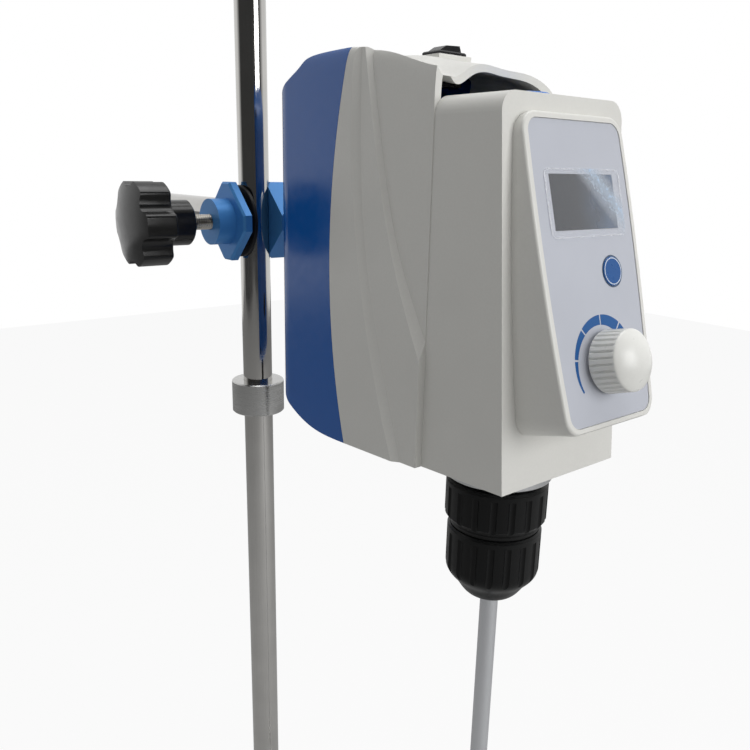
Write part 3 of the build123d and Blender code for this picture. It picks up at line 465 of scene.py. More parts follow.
@dataclass(frozen=True)
class Finishes:
    """All finishes of the stirrer."""

    mat: Finish = Rubber("mat_rubber", (0.03, 0.03, 0.032), 0.75)
    plate: Finish = PowderCoat("plate_powder_coat", (0.62, 0.63, 0.62), 0.5)
    fitting: Finish = BareMetal("turned_steel", (0.55, 0.55, 0.54), 0.22, Marks.RINGS)
    rod: Finish = BareMetal(
        "polished_rod", (0.56, 0.55, 0.53), 0.10, Marks.UPRIGHT, 0.3 * MM, 0.0012 * MM, 0.06,
    )
    arm: Finish = BareMetal(
        "polished_arm", (0.56, 0.55, 0.53), 0.12, Marks.ALONG_ARM, 0.3 * MM, 0.0012 * MM, 0.06,
    )
    screw: Finish = BareMetal("zinc_screw", (0.50, 0.48, 0.44), 0.28, Marks.ALONG_SCREW)
    black_screw: Finish = BareMetal("blackened_screw", (0.05, 0.05, 0.055), 0.35, Marks.RINGS)
    boss: Finish = GlossPaint("boss_paint", (0.010, 0.175, 0.60), 0.24)
    pad: Finish = MouldedPlastic("pad_plastic", (0.010, 0.010, 0.011), 0.45, shine=0.2)
    star: Finish = MouldedPlastic(
        "star_knob_plastic", (0.006, 0.006, 0.006), 0.20,
        grain_height=0.003 * MM, wave_height=0.04 * MM, shine=0.35,
    )
    housing: Finish = MouldedPlastic("housing_plastic", (0.74, 0.735, 0.70), 0.34, mottle=0.015, shine=0.45)
    cover: Finish = MouldedPlastic(
        "cover_plastic", (0.006, 0.105, 0.42), 0.20,
        grain_height=0.002 * MM, wave_height=0.05 * MM, mottle=0.02,
    )
    cap: Finish = MouldedPlastic("cap_plastic", (0.006, 0.16, 0.62), 0.22, grain_height=0.002 * MM)
    switch: Finish = MouldedPlastic("switch_plastic", (0.008, 0.008, 0.009), 0.25, shine=0.3)
    overlay: Finish = PanelFilm("panel_film", (0.52, 0.54, 0.60), 0.36)
    glass: Finish = DisplayGlass("display_glass_painted_reflection", (0.006, 0.010, 0.018), 0.05)
    display: Finish = MouldedPlastic("display_module_plastic", (0.02, 0.025, 0.035), 0.3)
    board: Finish = CircuitBoard("board_mask", (0.02, 0.12, 0.05), 0.3)
    button: Finish = MouldedPlastic("button_plastic", (0.004, 0.085, 0.30), 0.28, grain_height=0.002 * MM)
    ink: Finish = PanelFilm("blue_ink", (0.004, 0.090, 0.30), 0.32)
    pale_ink: Finish = PanelFilm("pale_ink", (0.70, 0.76, 0.84), 0.32)
    dark_ink: Finish = PanelFilm("dark_ink", (0.05, 0.09, 0.15), 0.32)
    knob: Finish = MouldedPlastic("knob_plastic", (0.80, 0.80, 0.765), 0.30, mottle=0.012)
    cast: Finish = BareMetal("cast_alloy", (0.52, 0.52, 0.52), 0.35, Marks.GRAIN, 0.7 * MM, 0.02 * MM)
    machined: Finish = BareMetal("machined_alloy", (0.66, 0.66, 0.67), 0.25, Marks.RINGS)
    seal: Finish = Rubber("seal_rubber", (0.012, 0.012, 0.012), 0.6)
    bearing: Finish = BareMetal("bearing_steel", (0.60, 0.60, 0.61), 0.15, Marks.RINGS)
    core: Finish = Laminate("core_laminate", (0.30, 0.27, 0.25), 0.4)
    chuck: Finish = MouldedPlastic(
        "chuck_plastic", (0.0045, 0.0048, 0.005), 0.34,
        grain_height=0.006 * MM, wave_height=0.02 * MM, shine=0.22,
    )
    chuck_steel: Finish = BareMetal("chuck_steel", (0.42, 0.42, 0.42), 0.22, Marks.RINGS)
    stirrer: Finish = BareMetal(
        "stirrer_steel", (0.52, 0.51, 0.49), 0.13, Marks.UPRIGHT, 0.3 * MM, 0.0015 * MM, 0.06,
    )
    blades: Finish = BareMetal("blade_steel", (0.55, 0.55, 0.54), 0.2, Marks.GRAIN, 0.3 * MM)


FINISHES = Finishes()


# Work on meshes


class Workbench:
    """Mesh work by hand tools, with nothing else selected."""

    @staticmethod
    def clear() -> None:
        """Deselects everything."""
        if bpy.context.object and bpy.context.object.mode != "OBJECT":
            bpy.ops.object.mode_set(mode="OBJECT")
        bpy.ops.object.select_all(action="DESELECT")

    @staticmethod
    def take(name: str) -> bpy.types.Object:
        """Names the object that was just added.

        Args:
            name: Its new name.

        Returns:
            The object.
        """
        piece = bpy.context.object
        piece.name = name
        piece.data.name = name
        return piece

    @staticmethod
    def turned(name: str, stations: Sequence[Station], sides: int = 96) -> bpy.types.Object:
        """Turns a closed solid about Z.

        Args:
            name: The piece's name.
            stations: Radius and height along its outline, from the end that is capped first.
            sides: Faces round it.

        Returns:
            The solid, standing at the origin.
        """
        Workbench.clear()
        radius, height = stations[0]
        bpy.ops.mesh.primitive_circle_add(
            vertices=sides, radius=radius, fill_type="NGON", location=(0, 0, height),
        )
        piece = Workbench.take(name)
        bpy.ops.object.transform_apply(location=True, rotation=True, scale=True)
        bpy.ops.object.mode_set(mode="EDIT")
        bpy.ops.mesh.select_all(action="SELECT")
        for next_radius, next_height in stations[1:]:
            bpy.ops.mesh.extrude_region_move(TRANSFORM_OT_translate={"value": (0, 0, next_height - height)})
            scale = next_radius / radius
            bpy.ops.transform.resize(value=(scale, scale, 1), center_override=(0, 0, next_height))
            radius, height = next_radius, next_height
        Workbench.face_out()
        return piece

    @staticmethod
    def face_out() -> None:
        """Merges doubles of the mesh in edit mode, turns its faces outwards and leaves edit mode."""
        bpy.ops.mesh.select_all(action="SELECT")
        bpy.ops.mesh.remove_doubles(threshold=1e-7)
        bpy.ops.mesh.normals_make_consistent(inside=False)
        bpy.ops.object.mode_set(mode="OBJECT")

    @staticmethod
    def grid(name: str, columns: int, rows: int) -> bpy.types.Object:
        """Flat grid that runs from 0 to 1 both ways.

        Args:
            name: The piece's name.
            columns: Faces along X.
            rows: Faces along Y.

        Returns:
            The grid.
        """
        Workbench.clear()
        bpy.ops.mesh.primitive_grid_add(
            x_subdivisions=columns, y_subdivisions=rows, size=1, location=(0.5, 0.5, 0),
        )
        piece = Workbench.take(name)
        bpy.ops.object.transform_apply(location=True, rotation=True, scale=True)
        return piece

    @staticmethod
    def warp(piece: bpy.types.Object, move: Callable[[Vector], Sequence[float]]) -> None:
        """Moves each vertex to where move puts it."""
        for vertex in piece.data.vertices:
            vertex.co = move(vertex.co.copy())
        piece.data.update()

    @staticmethod
    def thicken(piece: bpy.types.Object, thickness: float) -> None:
        """Gives a sheet a thickness towards its back.

        Args:
            piece: The sheet.
            thickness: Its thickness in metres.
        """
        Workbench.modify(piece, "SOLIDIFY", thickness=thickness, offset=-1)

    @staticmethod
    def modify(piece: bpy.types.Object, kind: str, **settings: object) -> None:
        """Adds a modifier to a piece and applies it.

        Args:
            piece: The piece.
            kind: The modifier's type.
            settings: Its properties by name.
        """
        Workbench.clear()
        piece.select_set(True)
        bpy.context.view_layer.objects.active = piece
        modifier = piece.modifiers.new(kind.lower(), kind)
        for key, value in settings.items():
            setattr(modifier, key, value)
        bpy.ops.object.modifier_apply(modifier=modifier.name)

    @staticmethod
    def merged(name: str, pieces: Sequence[bpy.types.Object]) -> bpy.types.Object:
        """Joins pieces into one.

        Args:
            name: The name of the result.
            pieces: What is joined.

        Returns:
            The joined piece.
        """
        Workbench.clear()
        for piece in pieces:
            piece.select_set(True)
        bpy.context.view_layer.objects.active = pieces[0]
        if len(pieces) > 1:
            bpy.ops.object.join()
        return Workbench.take(name)

    @staticmethod
    def smooth(piece: bpy.types.Object, angle: float = 35.0) -> None:
        """Shades a piece smooth across its flatter edges.

        Args:
            piece: The piece.
            angle: The sharpest edge that is smoothed, in degrees.
        """
        Workbench.clear()
        piece.select_set(True)
        bpy.context.view_layer.objects.active = piece
        bpy.ops.object.shade_smooth_by_angle(angle=math.radians(angle))

    @staticmethod
    def fit(piece: bpy.types.Object, body: str, slot: str, finish: Finish,
            replaced: Sequence[str] = ()) -> None:
        """Finishes a piece: its material, body and the CAD nodes that it stands for.

        Args:
            piece: The finished piece, in place.
            body: The CAD body that it rides on.
            slot: The record's material slot. Not used.
            finish: Its surface finish.
            replaced: CAD nodes that it replaces.
        """
        piece.data.materials.clear()
        piece.data.materials.append(finish.material())
        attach(piece, body)
        if replaced:
            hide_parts(*replaced)
        LOG.info("piece %s rides on %s", piece.name, body)


# Sub-assemblies


@dataclass
class PanelPlane:
    """The leaning face of the control panel."""

    top: tuple[float, float, float] = (0.0, -24.4 * MM, 657.9 * MM)
    lean: float = math.radians(15.5)

    def place(self, x: float = 0.0, slope: float = 0.0, rise: float = 0.0) -> Matrix:
        """Placement on the panel, with local X to the right, Y up the slope and Z out of it.

        Args:
            x: Distance to the right of the middle.
            slope: Distance down the slope from the panel's top edge.
            rise: Height above the panel's face.

        Returns:
            The placement's matrix.
        """
        out = Vector((0, -math.cos(self.lean), math.sin(self.lean)))
        up = Vector((0, math.sin(self.lean), math.cos(self.lean)))
        matrix = Matrix(((1, 0, 0, 0), (0, up.y, out.y, 0), (0, up.z, out.z, 0), (0, 0, 0, 1)))
        matrix.translation = Vector(self.top) + Vector((x, 0, 0)) - up * slope + out * rise
        return matrix


@dataclass
class SpeedScale:
    """Printed arc round the control knob that thickens clockwise."""

    panel: PanelPlane = field(default_factory=PanelPlane)
    slope: float = 86.5 * MM
    outer_radius: float = 17.2 * MM
    thin_end: float = 0.7 * MM
    growth: float = 4.2 * MM
    joints: tuple[float, ...] = (214.0, 171.0, 131.0, 90.0, 50.5, 10.0, -34.0)
    joint_gap: float = 0.7 * MM
    ink_height: float = 0.05 * MM

    def width(self, angle: float) -> float:
        """Width of the arc at an angle in degrees."""
        share = (self.joints[0] - angle) / (self.joints[0] - self.joints[-1])
        return self.thin_end + self.growth * math.sin(math.pi / 2 * share)

    def segment(self, start: float, stop: float) -> bpy.types.Object:
        """One stretch of the arc between two angles in degrees.

        Args:
            start: Angle of its thin end.
            stop: Angle of its thick end.

        Returns:
            The stretch, flat round the origin.
        """
        piece = Workbench.grid("scale_part", 24, 2)
        half_gap = math.degrees(self.joint_gap / 2 / self.outer_radius)

        def bend(point: Vector) -> tuple[float, float, float]:
            """Bends a point of the unit grid into its place on the ring.

            Args:
                point: The vertex before it is moved.

            Returns:
                Its new place.
            """
            angle = start - half_gap + (stop - start + 2 * half_gap) * point.x
            radius = self.outer_radius - self.width(angle) * (1 - point.y)
            turn = math.radians(angle)
            return radius * math.cos(turn), radius * math.sin(turn), self.ink_height

        Workbench.warp(piece, bend)
        bpy.ops.object.mode_set(mode="EDIT")
        Workbench.face_out()
        if piece.data.polygons[0].normal.z < 0:
            piece.data.flip_normals()
        Workbench.thicken(piece, self.ink_height * 0.9)
        return piece

    def build(self) -> None:
        """Builds and fits the scale."""
        parts = [self.segment(*pair) for pair in zip(self.joints, self.joints[1:])]
        piece = Workbench.merged("speed_scale", parts)
        piece.data.transform(self.panel.place(0, self.slope))
        Workbench.fit(piece, "head", "button_blue", FINISHES.ink)


@dataclass
class ButtonTrim:
    """Pale ring on the round button and the dark ring printed round it."""

    panel: PanelPlane = field(default_factory=PanelPlane)
    x: float = 10.9 * MM
    slope: float = 54.3 * MM
    proud: float = 0.4 * MM
    line_radius: float = 4.65 * MM
    line_width: float = 0.32 * MM
    halo_radius: float = 5.52 * MM
    halo_width: float = 0.45 * MM
    ink_height: float = 0.04 * MM

    def ring(self, name: str, radius: float, width: float, rise: float) -> bpy.types.Object:
        """Flat printed ring.

        Args:
            name: The piece's name.
            radius: Its inner radius.
            width: Its width.
            rise: Height of its underside above the panel.

        Returns:
            The ring, in place.
        """
        outline = [
            (radius, 0.1 * self.ink_height), (radius, self.ink_height),
            (radius + width, self.ink_height), (radius + width, 0.1 * self.ink_height),
        ]
        piece = Workbench.grid(name, 96, 3)

        def bend(point: Vector) -> tuple[float, float, float]:
            """Bends a point of the unit grid into its place on the ring.

            Args:
                point: The vertex before it is moved.

            Returns:
                Its new place.
            """
            turn = 2 * math.pi * point.x
            reach, height = outline[round(3 * point.y)]
            return reach * math.cos(turn), reach * math.sin(turn), height

        Workbench.warp(piece, bend)
        bpy.ops.object.mode_set(mode="EDIT")
        bpy.ops.mesh.select_all(action="SELECT")
        bpy.ops.mesh.remove_doubles(threshold=1e-7)
        bpy.ops.mesh.select_all(action="DESELECT")
        bpy.ops.mesh.select_non_manifold()
        bpy.ops.mesh.bridge_edge_loops()
        Workbench.face_out()
        piece.data.transform(self.panel.place(self.x, self.slope, rise))
        return piece

    def build(self) -> None:
        """Builds and fits both rings."""
        line = self.ring("button_line", self.line_radius, self.line_width, self.proud)
        Workbench.fit(line, "button", "button_blue", FINISHES.pale_ink)
        halo = self.ring("button_halo", self.halo_radius, self.halo_width, 0.0)
        Workbench.fit(halo, "head", "button_blue", FINISHES.dark_ink)


@dataclass
class ControlKnob:
    """Ribbed push-and-turn knob with a domed cap."""

    panel: PanelPlane = field(default_factory=PanelPlane)
    slope: float = 86.5 * MM
    gap: float = 1.2 * MM
    radius: float = 11.6 * MM
    top_radius: float = 11.15 * MM
    rim_height: float = 9.8 * MM
    height: float = 14.3 * MM
    hollow_radius: float = 5.5 * MM
    hollow_depth: float = 1.8 * MM
    ribs: int = 30
    facets: int = 12
    groove_depth: float = 0.85 * MM
    groove_share: float = 0.36

    def outline(self) -> list[Station]:
        """Radius and height along the knob's outline, from the hollow at its foot."""
        foot = [
            (self.hollow_radius, self.hollow_depth), (self.hollow_radius, 0.0), (self.radius - 0.5 * MM, 0.0),
            (self.radius - 0.15 * MM, 0.12 * MM), (self.radius, 0.5 * MM),
        ]
        steps = 6
        side = [
            (
                self.radius + (self.top_radius - self.radius) * i / steps,
                0.5 * MM + (self.rim_height - 0.5 * MM) * i / steps,
            )
            for i in range(1, steps + 1)
        ]
        cap = [
            (0.998, 0.05), (0.985, 0.115), (0.955, 0.19), (0.90, 0.30), (0.82, 0.43), (0.72, 0.57),
            (0.60, 0.71),
            (0.45, 0.84), (0.30, 0.93), (0.15, 0.983), (0.05, 1.0),
        ]
        rise = self.height - self.rim_height
        return foot + side + [(self.top_radius * r, self.rim_height + rise * h) for r, h in cap]

    def groove(self, point: Vector) -> float:
        """How deep the grooves between the ribs are at a point.

        Args:
            point: A point on the knob before it is grooved.

        Returns:
            The depth in metres.
        """
        turn = math.atan2(point.y, point.x) / (2 * math.pi) * self.ribs
        offset = abs(turn - round(turn)) / (self.groove_share / 2)
        across = max(0.0, 1 - offset * offset)
        low = min(1.0, max(0.0, (point.z - 0.1 * MM) / (0.9 * MM)))
        high = min(1.0, max(0.0, (self.rim_height + 0.1 * MM - point.z) / (1.0 * MM)))
        return self.groove_depth * math.sqrt(across) * min(low, high)

    def build(self) -> None:
        """Builds the knob and fits it in place of the CAD one."""
        piece = Workbench.turned("ribbed_knob", self.outline(), self.ribs * self.facets)

        def press(point: Vector) -> Vector:
            """Presses a point of the knob's side inwards where a groove runs.

            Args:
                point: The vertex before it is moved.

            Returns:
                Its new place.
            """
            reach = math.hypot(point.x, point.y)
            if reach < self.radius * 0.9:
                return point
            scale = (reach - self.groove(point)) / reach
            return Vector((point.x * scale, point.y * scale, point.z))

        Workbench.warp(piece, press)
        piece.data.transform(self.panel.place(0, self.slope, self.gap))
        Workbench.smooth(piece, 40)
        Workbench.fit(piece, "knob", "knob_white", FINISHES.knob, ["control_knob"])


@dataclass
class ThreadedScrew:
    """Clamping screw along X with its rolled thread."""

    name: str
    node: str
    body: str
    pitch: float = 1.25 * MM
    depth: float = 0.6 * MM
    sides: int = 36
    rings_per_turn: int = 6

    def build(self) -> None:
        """Builds the screw and fits it in place of the CAD one."""
        low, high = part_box(self.node)
        radius = (high.z - low.z) / 2
        length = high.x - low.x
        rings = round(length / self.pitch * self.rings_per_turn)
        end = 0.8 * MM
        stations = [(radius * 0.3, 0.0), (radius - self.depth, 0.0)]
        stations += [(radius, length * (i + 0.5) / rings) for i in range(rings)]
        stations += [(radius - self.depth, length), (radius * 0.3, length)]
        piece = Workbench.turned(self.name, stations, self.sides)

        def roll(point: Vector) -> Vector:
            """Presses a point of the bar inwards to the thread's profile.

            Args:
                point: The vertex before it is moved.

            Returns:
                Its new place.
            """
            reach = math.hypot(point.x, point.y)
            if reach < radius * 0.95:
                return point
            turn = math.atan2(point.y, point.x) / (2 * math.pi)
            phase = (point.z / self.pitch + turn) % 1.0
            cut = self.depth * abs(2 * phase - 1)
            taper = min(1.0, point.z / end, (length - point.z) / end)
            scale = (radius - cut * taper - self.depth * (1 - taper)) / reach
            return Vector((point.x * scale, point.y * scale, point.z))

        Workbench.warp(piece, roll)
        middle = (low + high) / 2
        turn = Matrix.Rotation(math.pi / 2, 4, "Y")
        piece.data.transform(Matrix.Translation((low.x, middle.y, middle.z)) @ turn)
        Workbench.smooth(piece, 50)
        Workbench.fit(piece, self.body, "screw_steel", FINISHES.screw, [self.node])


@dataclass(frozen=True)
class ClearFilm(Finish):
    """Loose protective film: clear where it lies flat and whitish along its broken edge, with a painted
    reflection as a diagonal band of light blue spots across its right side.
    """

    origin: tuple[float, float, float] = (0.0, 0.0, 0.0)
    lean: float = 0.0
    half_width: float = 21.4 * MM
    half_height: float = 12.2 * MM

    def dress(self, bench: NodeBench) -> None:
        """Puts the film's nodes on the bench.

        Args:
            bench: Where the nodes are put.
        """
        mapping = bench.add("ShaderNodeMapping", vector_type="TEXTURE")
        mapping.inputs["Location"].default_value = self.origin
        mapping.inputs["Rotation"].default_value = (math.pi / 2 - self.lean, 0, 0)
        bench.join(bench.object_place, mapping.inputs["Vector"])
        place = mapping.outputs["Vector"]
        parts = bench.add("ShaderNodeSeparateXYZ")
        bench.join(place, parts.inputs["Vector"])
        x, y = parts.outputs["X"], parts.outputs["Y"]
        # Painted reflection: a diagonal band over the right of the display, broken into spots, turns the film
        # light blue and less clear.
        right = bench.spread(bench.combine(x, y), 0, 1, 6 * MM, 17 * MM)
        far_right = bench.spread(bench.combine(x, y), 1, 0, 17 * MM, 24 * MM)
        reflection_band = bench.combine(right, far_right, "MULTIPLY")
        crinkle = bench.add("ShaderNodeTexVoronoi", feature="DISTANCE_TO_EDGE")
        crinkle.inputs["Scale"].default_value = 420.0
        bench.join(place, crinkle.inputs["Vector"])
        bubbles = bench.spread(crinkle.outputs["Distance"], 1, 0, 0.0, 0.16)
        broken = bench.spread(bench.noise(1.6 * MM, 5, place), 0, 1, 0.42, 0.62)
        spots = bench.spread(bench.combine(bubbles, broken, "MULTIPLY"), 0.55, 1.0, 0.0, 1.0)
        reflection_share = bench.combine(reflection_band, spots, "MULTIPLY")
        edge_x = bench.spread(bench.absolute(x), 0, 1, self.half_width - 1.1 * MM, self.half_width)
        edge_y = bench.spread(bench.absolute(y), 0, 1, self.half_height - 0.9 * MM, self.half_height)
        rim = bench.combine(edge_x, edge_y, "MAXIMUM")
        edge = bench.combine(rim, bench.spread(broken, 0.35, 1.0, 0.0, 1.0), "MULTIPLY")
        cover = bench.spread(bench.combine(reflection_share, edge, "MAXIMUM"), 0.05, 0.72, 0.0, 1.0)
        bench.join(cover, bench.shader.inputs["Alpha"])
        # The painted reflection sets the light blue colour.
        bench.colour(bench.blend(reflection_share, self.colour, (0.55, 0.72, 0.92)))
        bench.rough(bench.spread(broken, self.roughness, self.roughness + 0.2, 0.0, 1.0))
        bench.fixed(Specular_IOR_Level=0.6)
        bench.relief((bench.noise(2.2 * MM, 4, place), 0.12 * MM))


@dataclass
class ProtectiveFilm:
    """Clear film left on the display, loose and crinkled at its edges."""

    panel: PanelPlane = field(default_factory=PanelPlane)
    x: float = 0.7 * MM
    slope: float = 29.2 * MM
    half_width: float = 21.4 * MM
    half_height: float = 12.2 * MM
    corner: float = 2.5 * MM
    thickness: float = 0.05 * MM
    lift: float = 0.08 * MM
    ripple: float = 0.22 * MM

    def build(self) -> None:
        """Builds and fits the film."""
        piece = Workbench.grid("display_film", 120, 72)
        inner_x = self.half_width - self.corner
        inner_y = self.half_height - self.corner

        def drape(point: Vector) -> tuple[float, float, float]:
            """Lays a point of the unit grid on the panel, loose near the film's edges.

            Args:
                point: The vertex before it is moved.

            Returns:
                Its new place.
            """
            x = (2 * point.x - 1) * self.half_width
            y = (2 * point.y - 1) * self.half_height
            over_x, over_y = max(0.0, abs(x) - inner_x), max(0.0, abs(y) - inner_y)
            reach = math.hypot(over_x, over_y)
            longest = max(over_x, over_y)
            if over_x > 0 and over_y > 0:
                shrink = longest / reach
                x = math.copysign(inner_x + over_x * shrink, x)
                y = math.copysign(inner_y + over_y * shrink, y)
            edge = max(abs(x) / self.half_width, abs(y) / self.half_height)
            loose = max(0.0, (edge - 0.86) / 0.14) ** 2
            if x > 0:
                loose = min(1.0, loose + 0.5 * max(0.0, (x + y) / self.half_width - 0.5))
            wave = math.sin(900 * x + 5 * math.sin(500 * y)) * math.sin(1300 * y + 3 * math.sin(700 * x))
            return x, y, self.thickness + self.lift + self.ripple * loose * (0.6 + 0.4 * wave)

        Workbench.warp(piece, drape)
        Workbench.thicken(piece, self.thickness)
        place = self.panel.place(self.x, self.slope)
        piece.data.transform(place)
        Workbench.smooth(piece, 60)
        # The film's finish paints a reflection on the display as a light blue band of spots.
        finish = ClearFilm(
            "clear_film_painted_reflection", (0.86, 0.88, 0.92), 0.12, tuple(place.translation), self.panel.lean,
            self.half_width, self.half_height,
        )
        Workbench.fit(piece, "head", "window", finish)


@dataclass
class CarriedNodes:
    """CAD nodes that stay as they are, with the finish of each."""

    finishes: dict[str, Finish] = field(default_factory=lambda: {
        "base_mat": FINISHES.mat, "base_plate": FINISHES.plate, "rod_socket": FINISHES.fitting,
        "socket_grub": FINISHES.black_screw, "stand_rod": FINISHES.rod, "stop_collar": FINISHES.fitting,
        "collar_grub": FINISHES.black_screw, "boss_head": FINISHES.boss, "rod_pad": FINISHES.pad,
        "rod_screw": FINISHES.screw, "rod_star_knob": FINISHES.star, "arm_pad": FINISHES.fitting,
        "arm_screw": FINISHES.screw, "arm_star_knob": FINISHES.star, "extension_arm": FINISHES.arm,
        "arm_socket": FINISHES.cast, "main_housing": FINISHES.housing, "rear_cover": FINISHES.cover,
        "cover_screws": FINISHES.black_screw, "power_inlet": FINISHES.switch, "top_cap": FINISHES.cap,
        "switch_frame": FINISHES.switch, "rocker": FINISHES.switch, "panel_overlay": FINISHES.overlay,
        "display_window": FINISHES.glass, "display_module": FINISHES.display, "control_board": FINISHES.board,
        "board_posts": FINISHES.housing, "round_button": FINISHES.button, "encoder_body": FINISHES.fitting,
        "encoder_rotor": FINISHES.pad, "encoder_shaft": FINISHES.fitting, "control_knob": FINISHES.knob,
        "chassis": FINISHES.machined, "chassis_screws": FINISHES.screw, "neck_flange": FINISHES.cast,
        "shaft_seal": FINISHES.seal, "quill": FINISHES.machined, "lower_bearing": FINISHES.bearing,
        "upper_bearing": FINISHES.bearing, "spindle": FINISHES.chuck_steel,
        "retaining_ring": FINISHES.black_screw,
        "driven_pulley": FINISHES.machined, "drive_belt": FINISHES.seal, "motor_pulley": FINISHES.machined,
        "motor_can": FINISHES.fitting, "motor_flange": FINISHES.cast, "stator": FINISHES.core,
        "rotor": FINISHES.core, "drive_board": FINISHES.board, "drive_board_posts": FINISHES.housing,
        "upper_sleeve": FINISHES.chuck, "tightening_sleeve": FINISHES.chuck,
        "chuck_nut": FINISHES.chuck_steel,
        "chuck_body": FINISHES.chuck_steel, "stirring_shaft": FINISHES.stirrer, "impeller": FINISHES.blades,
        "jaw_1": FINISHES.chuck_steel, "jaw_2": FINISHES.chuck_steel, "jaw_3": FINISHES.chuck_steel,
    })

    def dress(self) -> None:
        """Gives every CAD node its finish."""
        for name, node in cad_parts.items():
            node.data.materials.clear()
            node.data.materials.append(self.finishes[name].material())
            LOG.info("node %s is finished in %s", name, self.finishes[name].name)


# Studio


@dataclass
class Softbox:
    """Square soft light aimed at a point."""

    name: str
    place: tuple[float, float, float]
    aim: tuple[float, float, float]
    size: float
    power: float

    def build(self) -> None:
        """Hangs the light."""
        data = bpy.data.lights.new(self.name, "AREA")
        data.shape = "SQUARE"
        data.size = self.size
        data.energy = self.power
        lamp = bpy.data.objects.new(self.name, data)
        bpy.context.scene.collection.objects.link(lamp)
        lamp.location = self.place
        lamp.rotation_euler = (Vector(self.place) - Vector(self.aim)).to_track_quat("Z", "Y").to_euler()


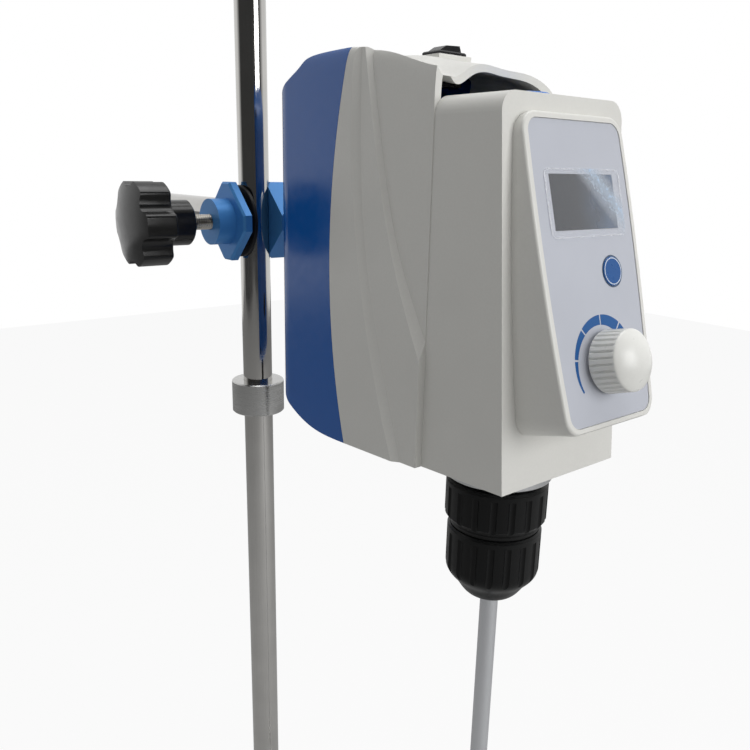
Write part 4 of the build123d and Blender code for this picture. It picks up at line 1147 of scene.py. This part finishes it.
@dataclass
class Studio:
    """Camera, lights, floor and white surround."""

    eye: tuple[float, float, float] = (-228.2 * MM, -201.9 * MM, 640.0 * MM)
    azimuth: float = -0.670
    elevation: float = 0.268
    roll: float = 0.021
    focal_pixels: float = 750.6
    frame_pixels: float = 750.0
    ambient: float = 0.32
    floor_size: float = 6.0
    floor_tone: float = 0.55
    lamps: tuple[Softbox, ...] = (
        Softbox("front_light", (0.42, -1.55, 1.05), (0.0, 0.0, 0.60), 0.9, 15.0),
        Softbox("top_light", (0.15, 0.15, 2.10), (0.0, 0.05, 0.60), 1.3, 14.0),
    )

    def build(self) -> None:
        """Sets up the whole studio."""
        bpy.context.scene.view_settings.view_transform = "Standard"
        self.build_camera()
        for lamp in self.lamps:
            lamp.build()
        self.build_floor()
        self.build_surround()

    def build_camera(self) -> None:
        """Puts the camera where the photograph was taken from."""
        back = Vector((
            math.sin(self.azimuth) * math.cos(self.elevation),
            -math.cos(self.azimuth) * math.cos(self.elevation),
            math.sin(self.elevation),
        ))
        right = (-back).cross(Vector((0, 0, 1))).normalized()
        up = right.cross(-back)
        turned_right = right * math.cos(self.roll) + up * math.sin(self.roll)
        turned_up = up * math.cos(self.roll) - right * math.sin(self.roll)
        data = bpy.data.cameras.new("camera")
        data.sensor_fit = "HORIZONTAL"
        data.sensor_width = 36.0
        data.lens = 36.0 * self.focal_pixels / self.frame_pixels
        data.clip_start = 0.01
        data.clip_end = 20.0
        camera = bpy.data.objects.new("camera", data)
        bpy.context.scene.collection.objects.link(camera)
        matrix = Matrix((turned_right, turned_up, back)).transposed().to_4x4()
        matrix.translation = self.eye
        camera.matrix_world = matrix
        bpy.context.scene.camera = camera

    def build_floor(self) -> None:
        """Lays the pale floor, which keeps a light shadow."""
        Workbench.clear()
        bpy.ops.mesh.primitive_plane_add(size=self.floor_size, location=(0, 0, -0.1 * MM))
        floor = Workbench.take("floor")
        material = bpy.data.materials.new("floor_paper")
        material.use_nodes = True
        tree = material.node_tree
        shader = tree.nodes["Principled BSDF"]
        shader.inputs["Base Color"].default_value = (self.floor_tone,) * 3 + (1.0,)
        shader.inputs["Roughness"].default_value = 0.9
        glow = tree.nodes.new("ShaderNodeEmission")
        path = tree.nodes.new("ShaderNodeLightPath")
        seen = tree.nodes.new("ShaderNodeMath")
        seen.operation = "MAXIMUM"
        tree.links.new(path.outputs["Is Camera Ray"], seen.inputs[0])
        tree.links.new(path.outputs["Is Transmission Ray"], seen.inputs[1])
        share = tree.nodes.new("ShaderNodeMath")
        share.operation = "MULTIPLY"
        share.inputs[1].default_value = 0.93
        tree.links.new(seen.outputs[0], share.inputs[0])
        mixed = tree.nodes.new("ShaderNodeMixShader")
        tree.links.new(share.outputs[0], mixed.inputs[0])
        tree.links.new(shader.outputs[0], mixed.inputs[1])
        tree.links.new(glow.outputs[0], mixed.inputs[2])
        tree.links.new(mixed.outputs[0], tree.nodes["Material Output"].inputs["Surface"])
        floor.data.materials.append(material)

    def build_surround(self) -> None:
        """Makes the surround white to the eye and to glass, and half dark to metal, as a real studio is."""
        world = bpy.data.worlds.new("surround")
        bpy.context.scene.world = world
        world.use_nodes = True
        tree = world.node_tree
        background = tree.nodes["Background"]
        path = tree.nodes.new("ShaderNodeLightPath")
        place = tree.nodes.new("ShaderNodeTexCoord")
        dot = tree.nodes.new("ShaderNodeVectorMath")
        dot.operation = "DOT_PRODUCT"
        dot.inputs[1].default_value = (0.62, 0.78, 0.05)
        tree.links.new(place.outputs["Generated"], dot.inputs[0])
        ramp = tree.nodes.new("ShaderNodeValToRGB")
        ramp.color_ramp.elements[0].position = 0.38
        ramp.color_ramp.elements[0].color = (0.05, 0.05, 0.05, 1)
        ramp.color_ramp.elements[1].position = 0.62
        ramp.color_ramp.elements[1].color = (0.9, 0.9, 0.9, 1)
        half = tree.nodes.new("ShaderNodeMath")
        half.operation = "MULTIPLY_ADD"
        half.inputs[1].default_value = 0.5
        half.inputs[2].default_value = 0.5
        tree.links.new(dot.outputs["Value"], half.inputs[0])
        tree.links.new(half.outputs[0], ramp.inputs[0])
        glossy = tree.nodes.new("ShaderNodeMix")
        glossy.data_type = "RGBA"
        glossy.inputs[6].default_value = (self.ambient,) * 3 + (1.0,)
        tree.links.new(path.outputs["Is Glossy Ray"], glossy.inputs["Factor"])
        tree.links.new(ramp.outputs[0], glossy.inputs[7])
        seen = tree.nodes.new("ShaderNodeMath")
        seen.operation = "MAXIMUM"
        tree.links.new(path.outputs["Is Camera Ray"], seen.inputs[0])
        tree.links.new(path.outputs["Is Transmission Ray"], seen.inputs[1])
        white = tree.nodes.new("ShaderNodeMix")
        white.data_type = "RGBA"
        white.inputs[7].default_value = (1, 1, 1, 1)
        tree.links.new(seen.outputs[0], white.inputs["Factor"])
        tree.links.new(glossy.outputs[2], white.inputs[6])
        tree.links.new(white.outputs[2], background.inputs["Color"])


def main() -> None:
    """Builds every piece and the studio."""
    logging.basicConfig(level=logging.INFO, format="%(name)s: %(message)s")
    Studio().build()
    CarriedNodes().dress()
    SpeedScale().build()
    ButtonTrim().build()
    ControlKnob().build()
    ThreadedScrew("rod_clamp_thread", "rod_screw", "rod_clamp").build()
    ThreadedScrew("arm_clamp_thread", "arm_screw", "arm_clamp").build()
    ProtectiveFilm().build()


if __name__ == "__main__":
    main()
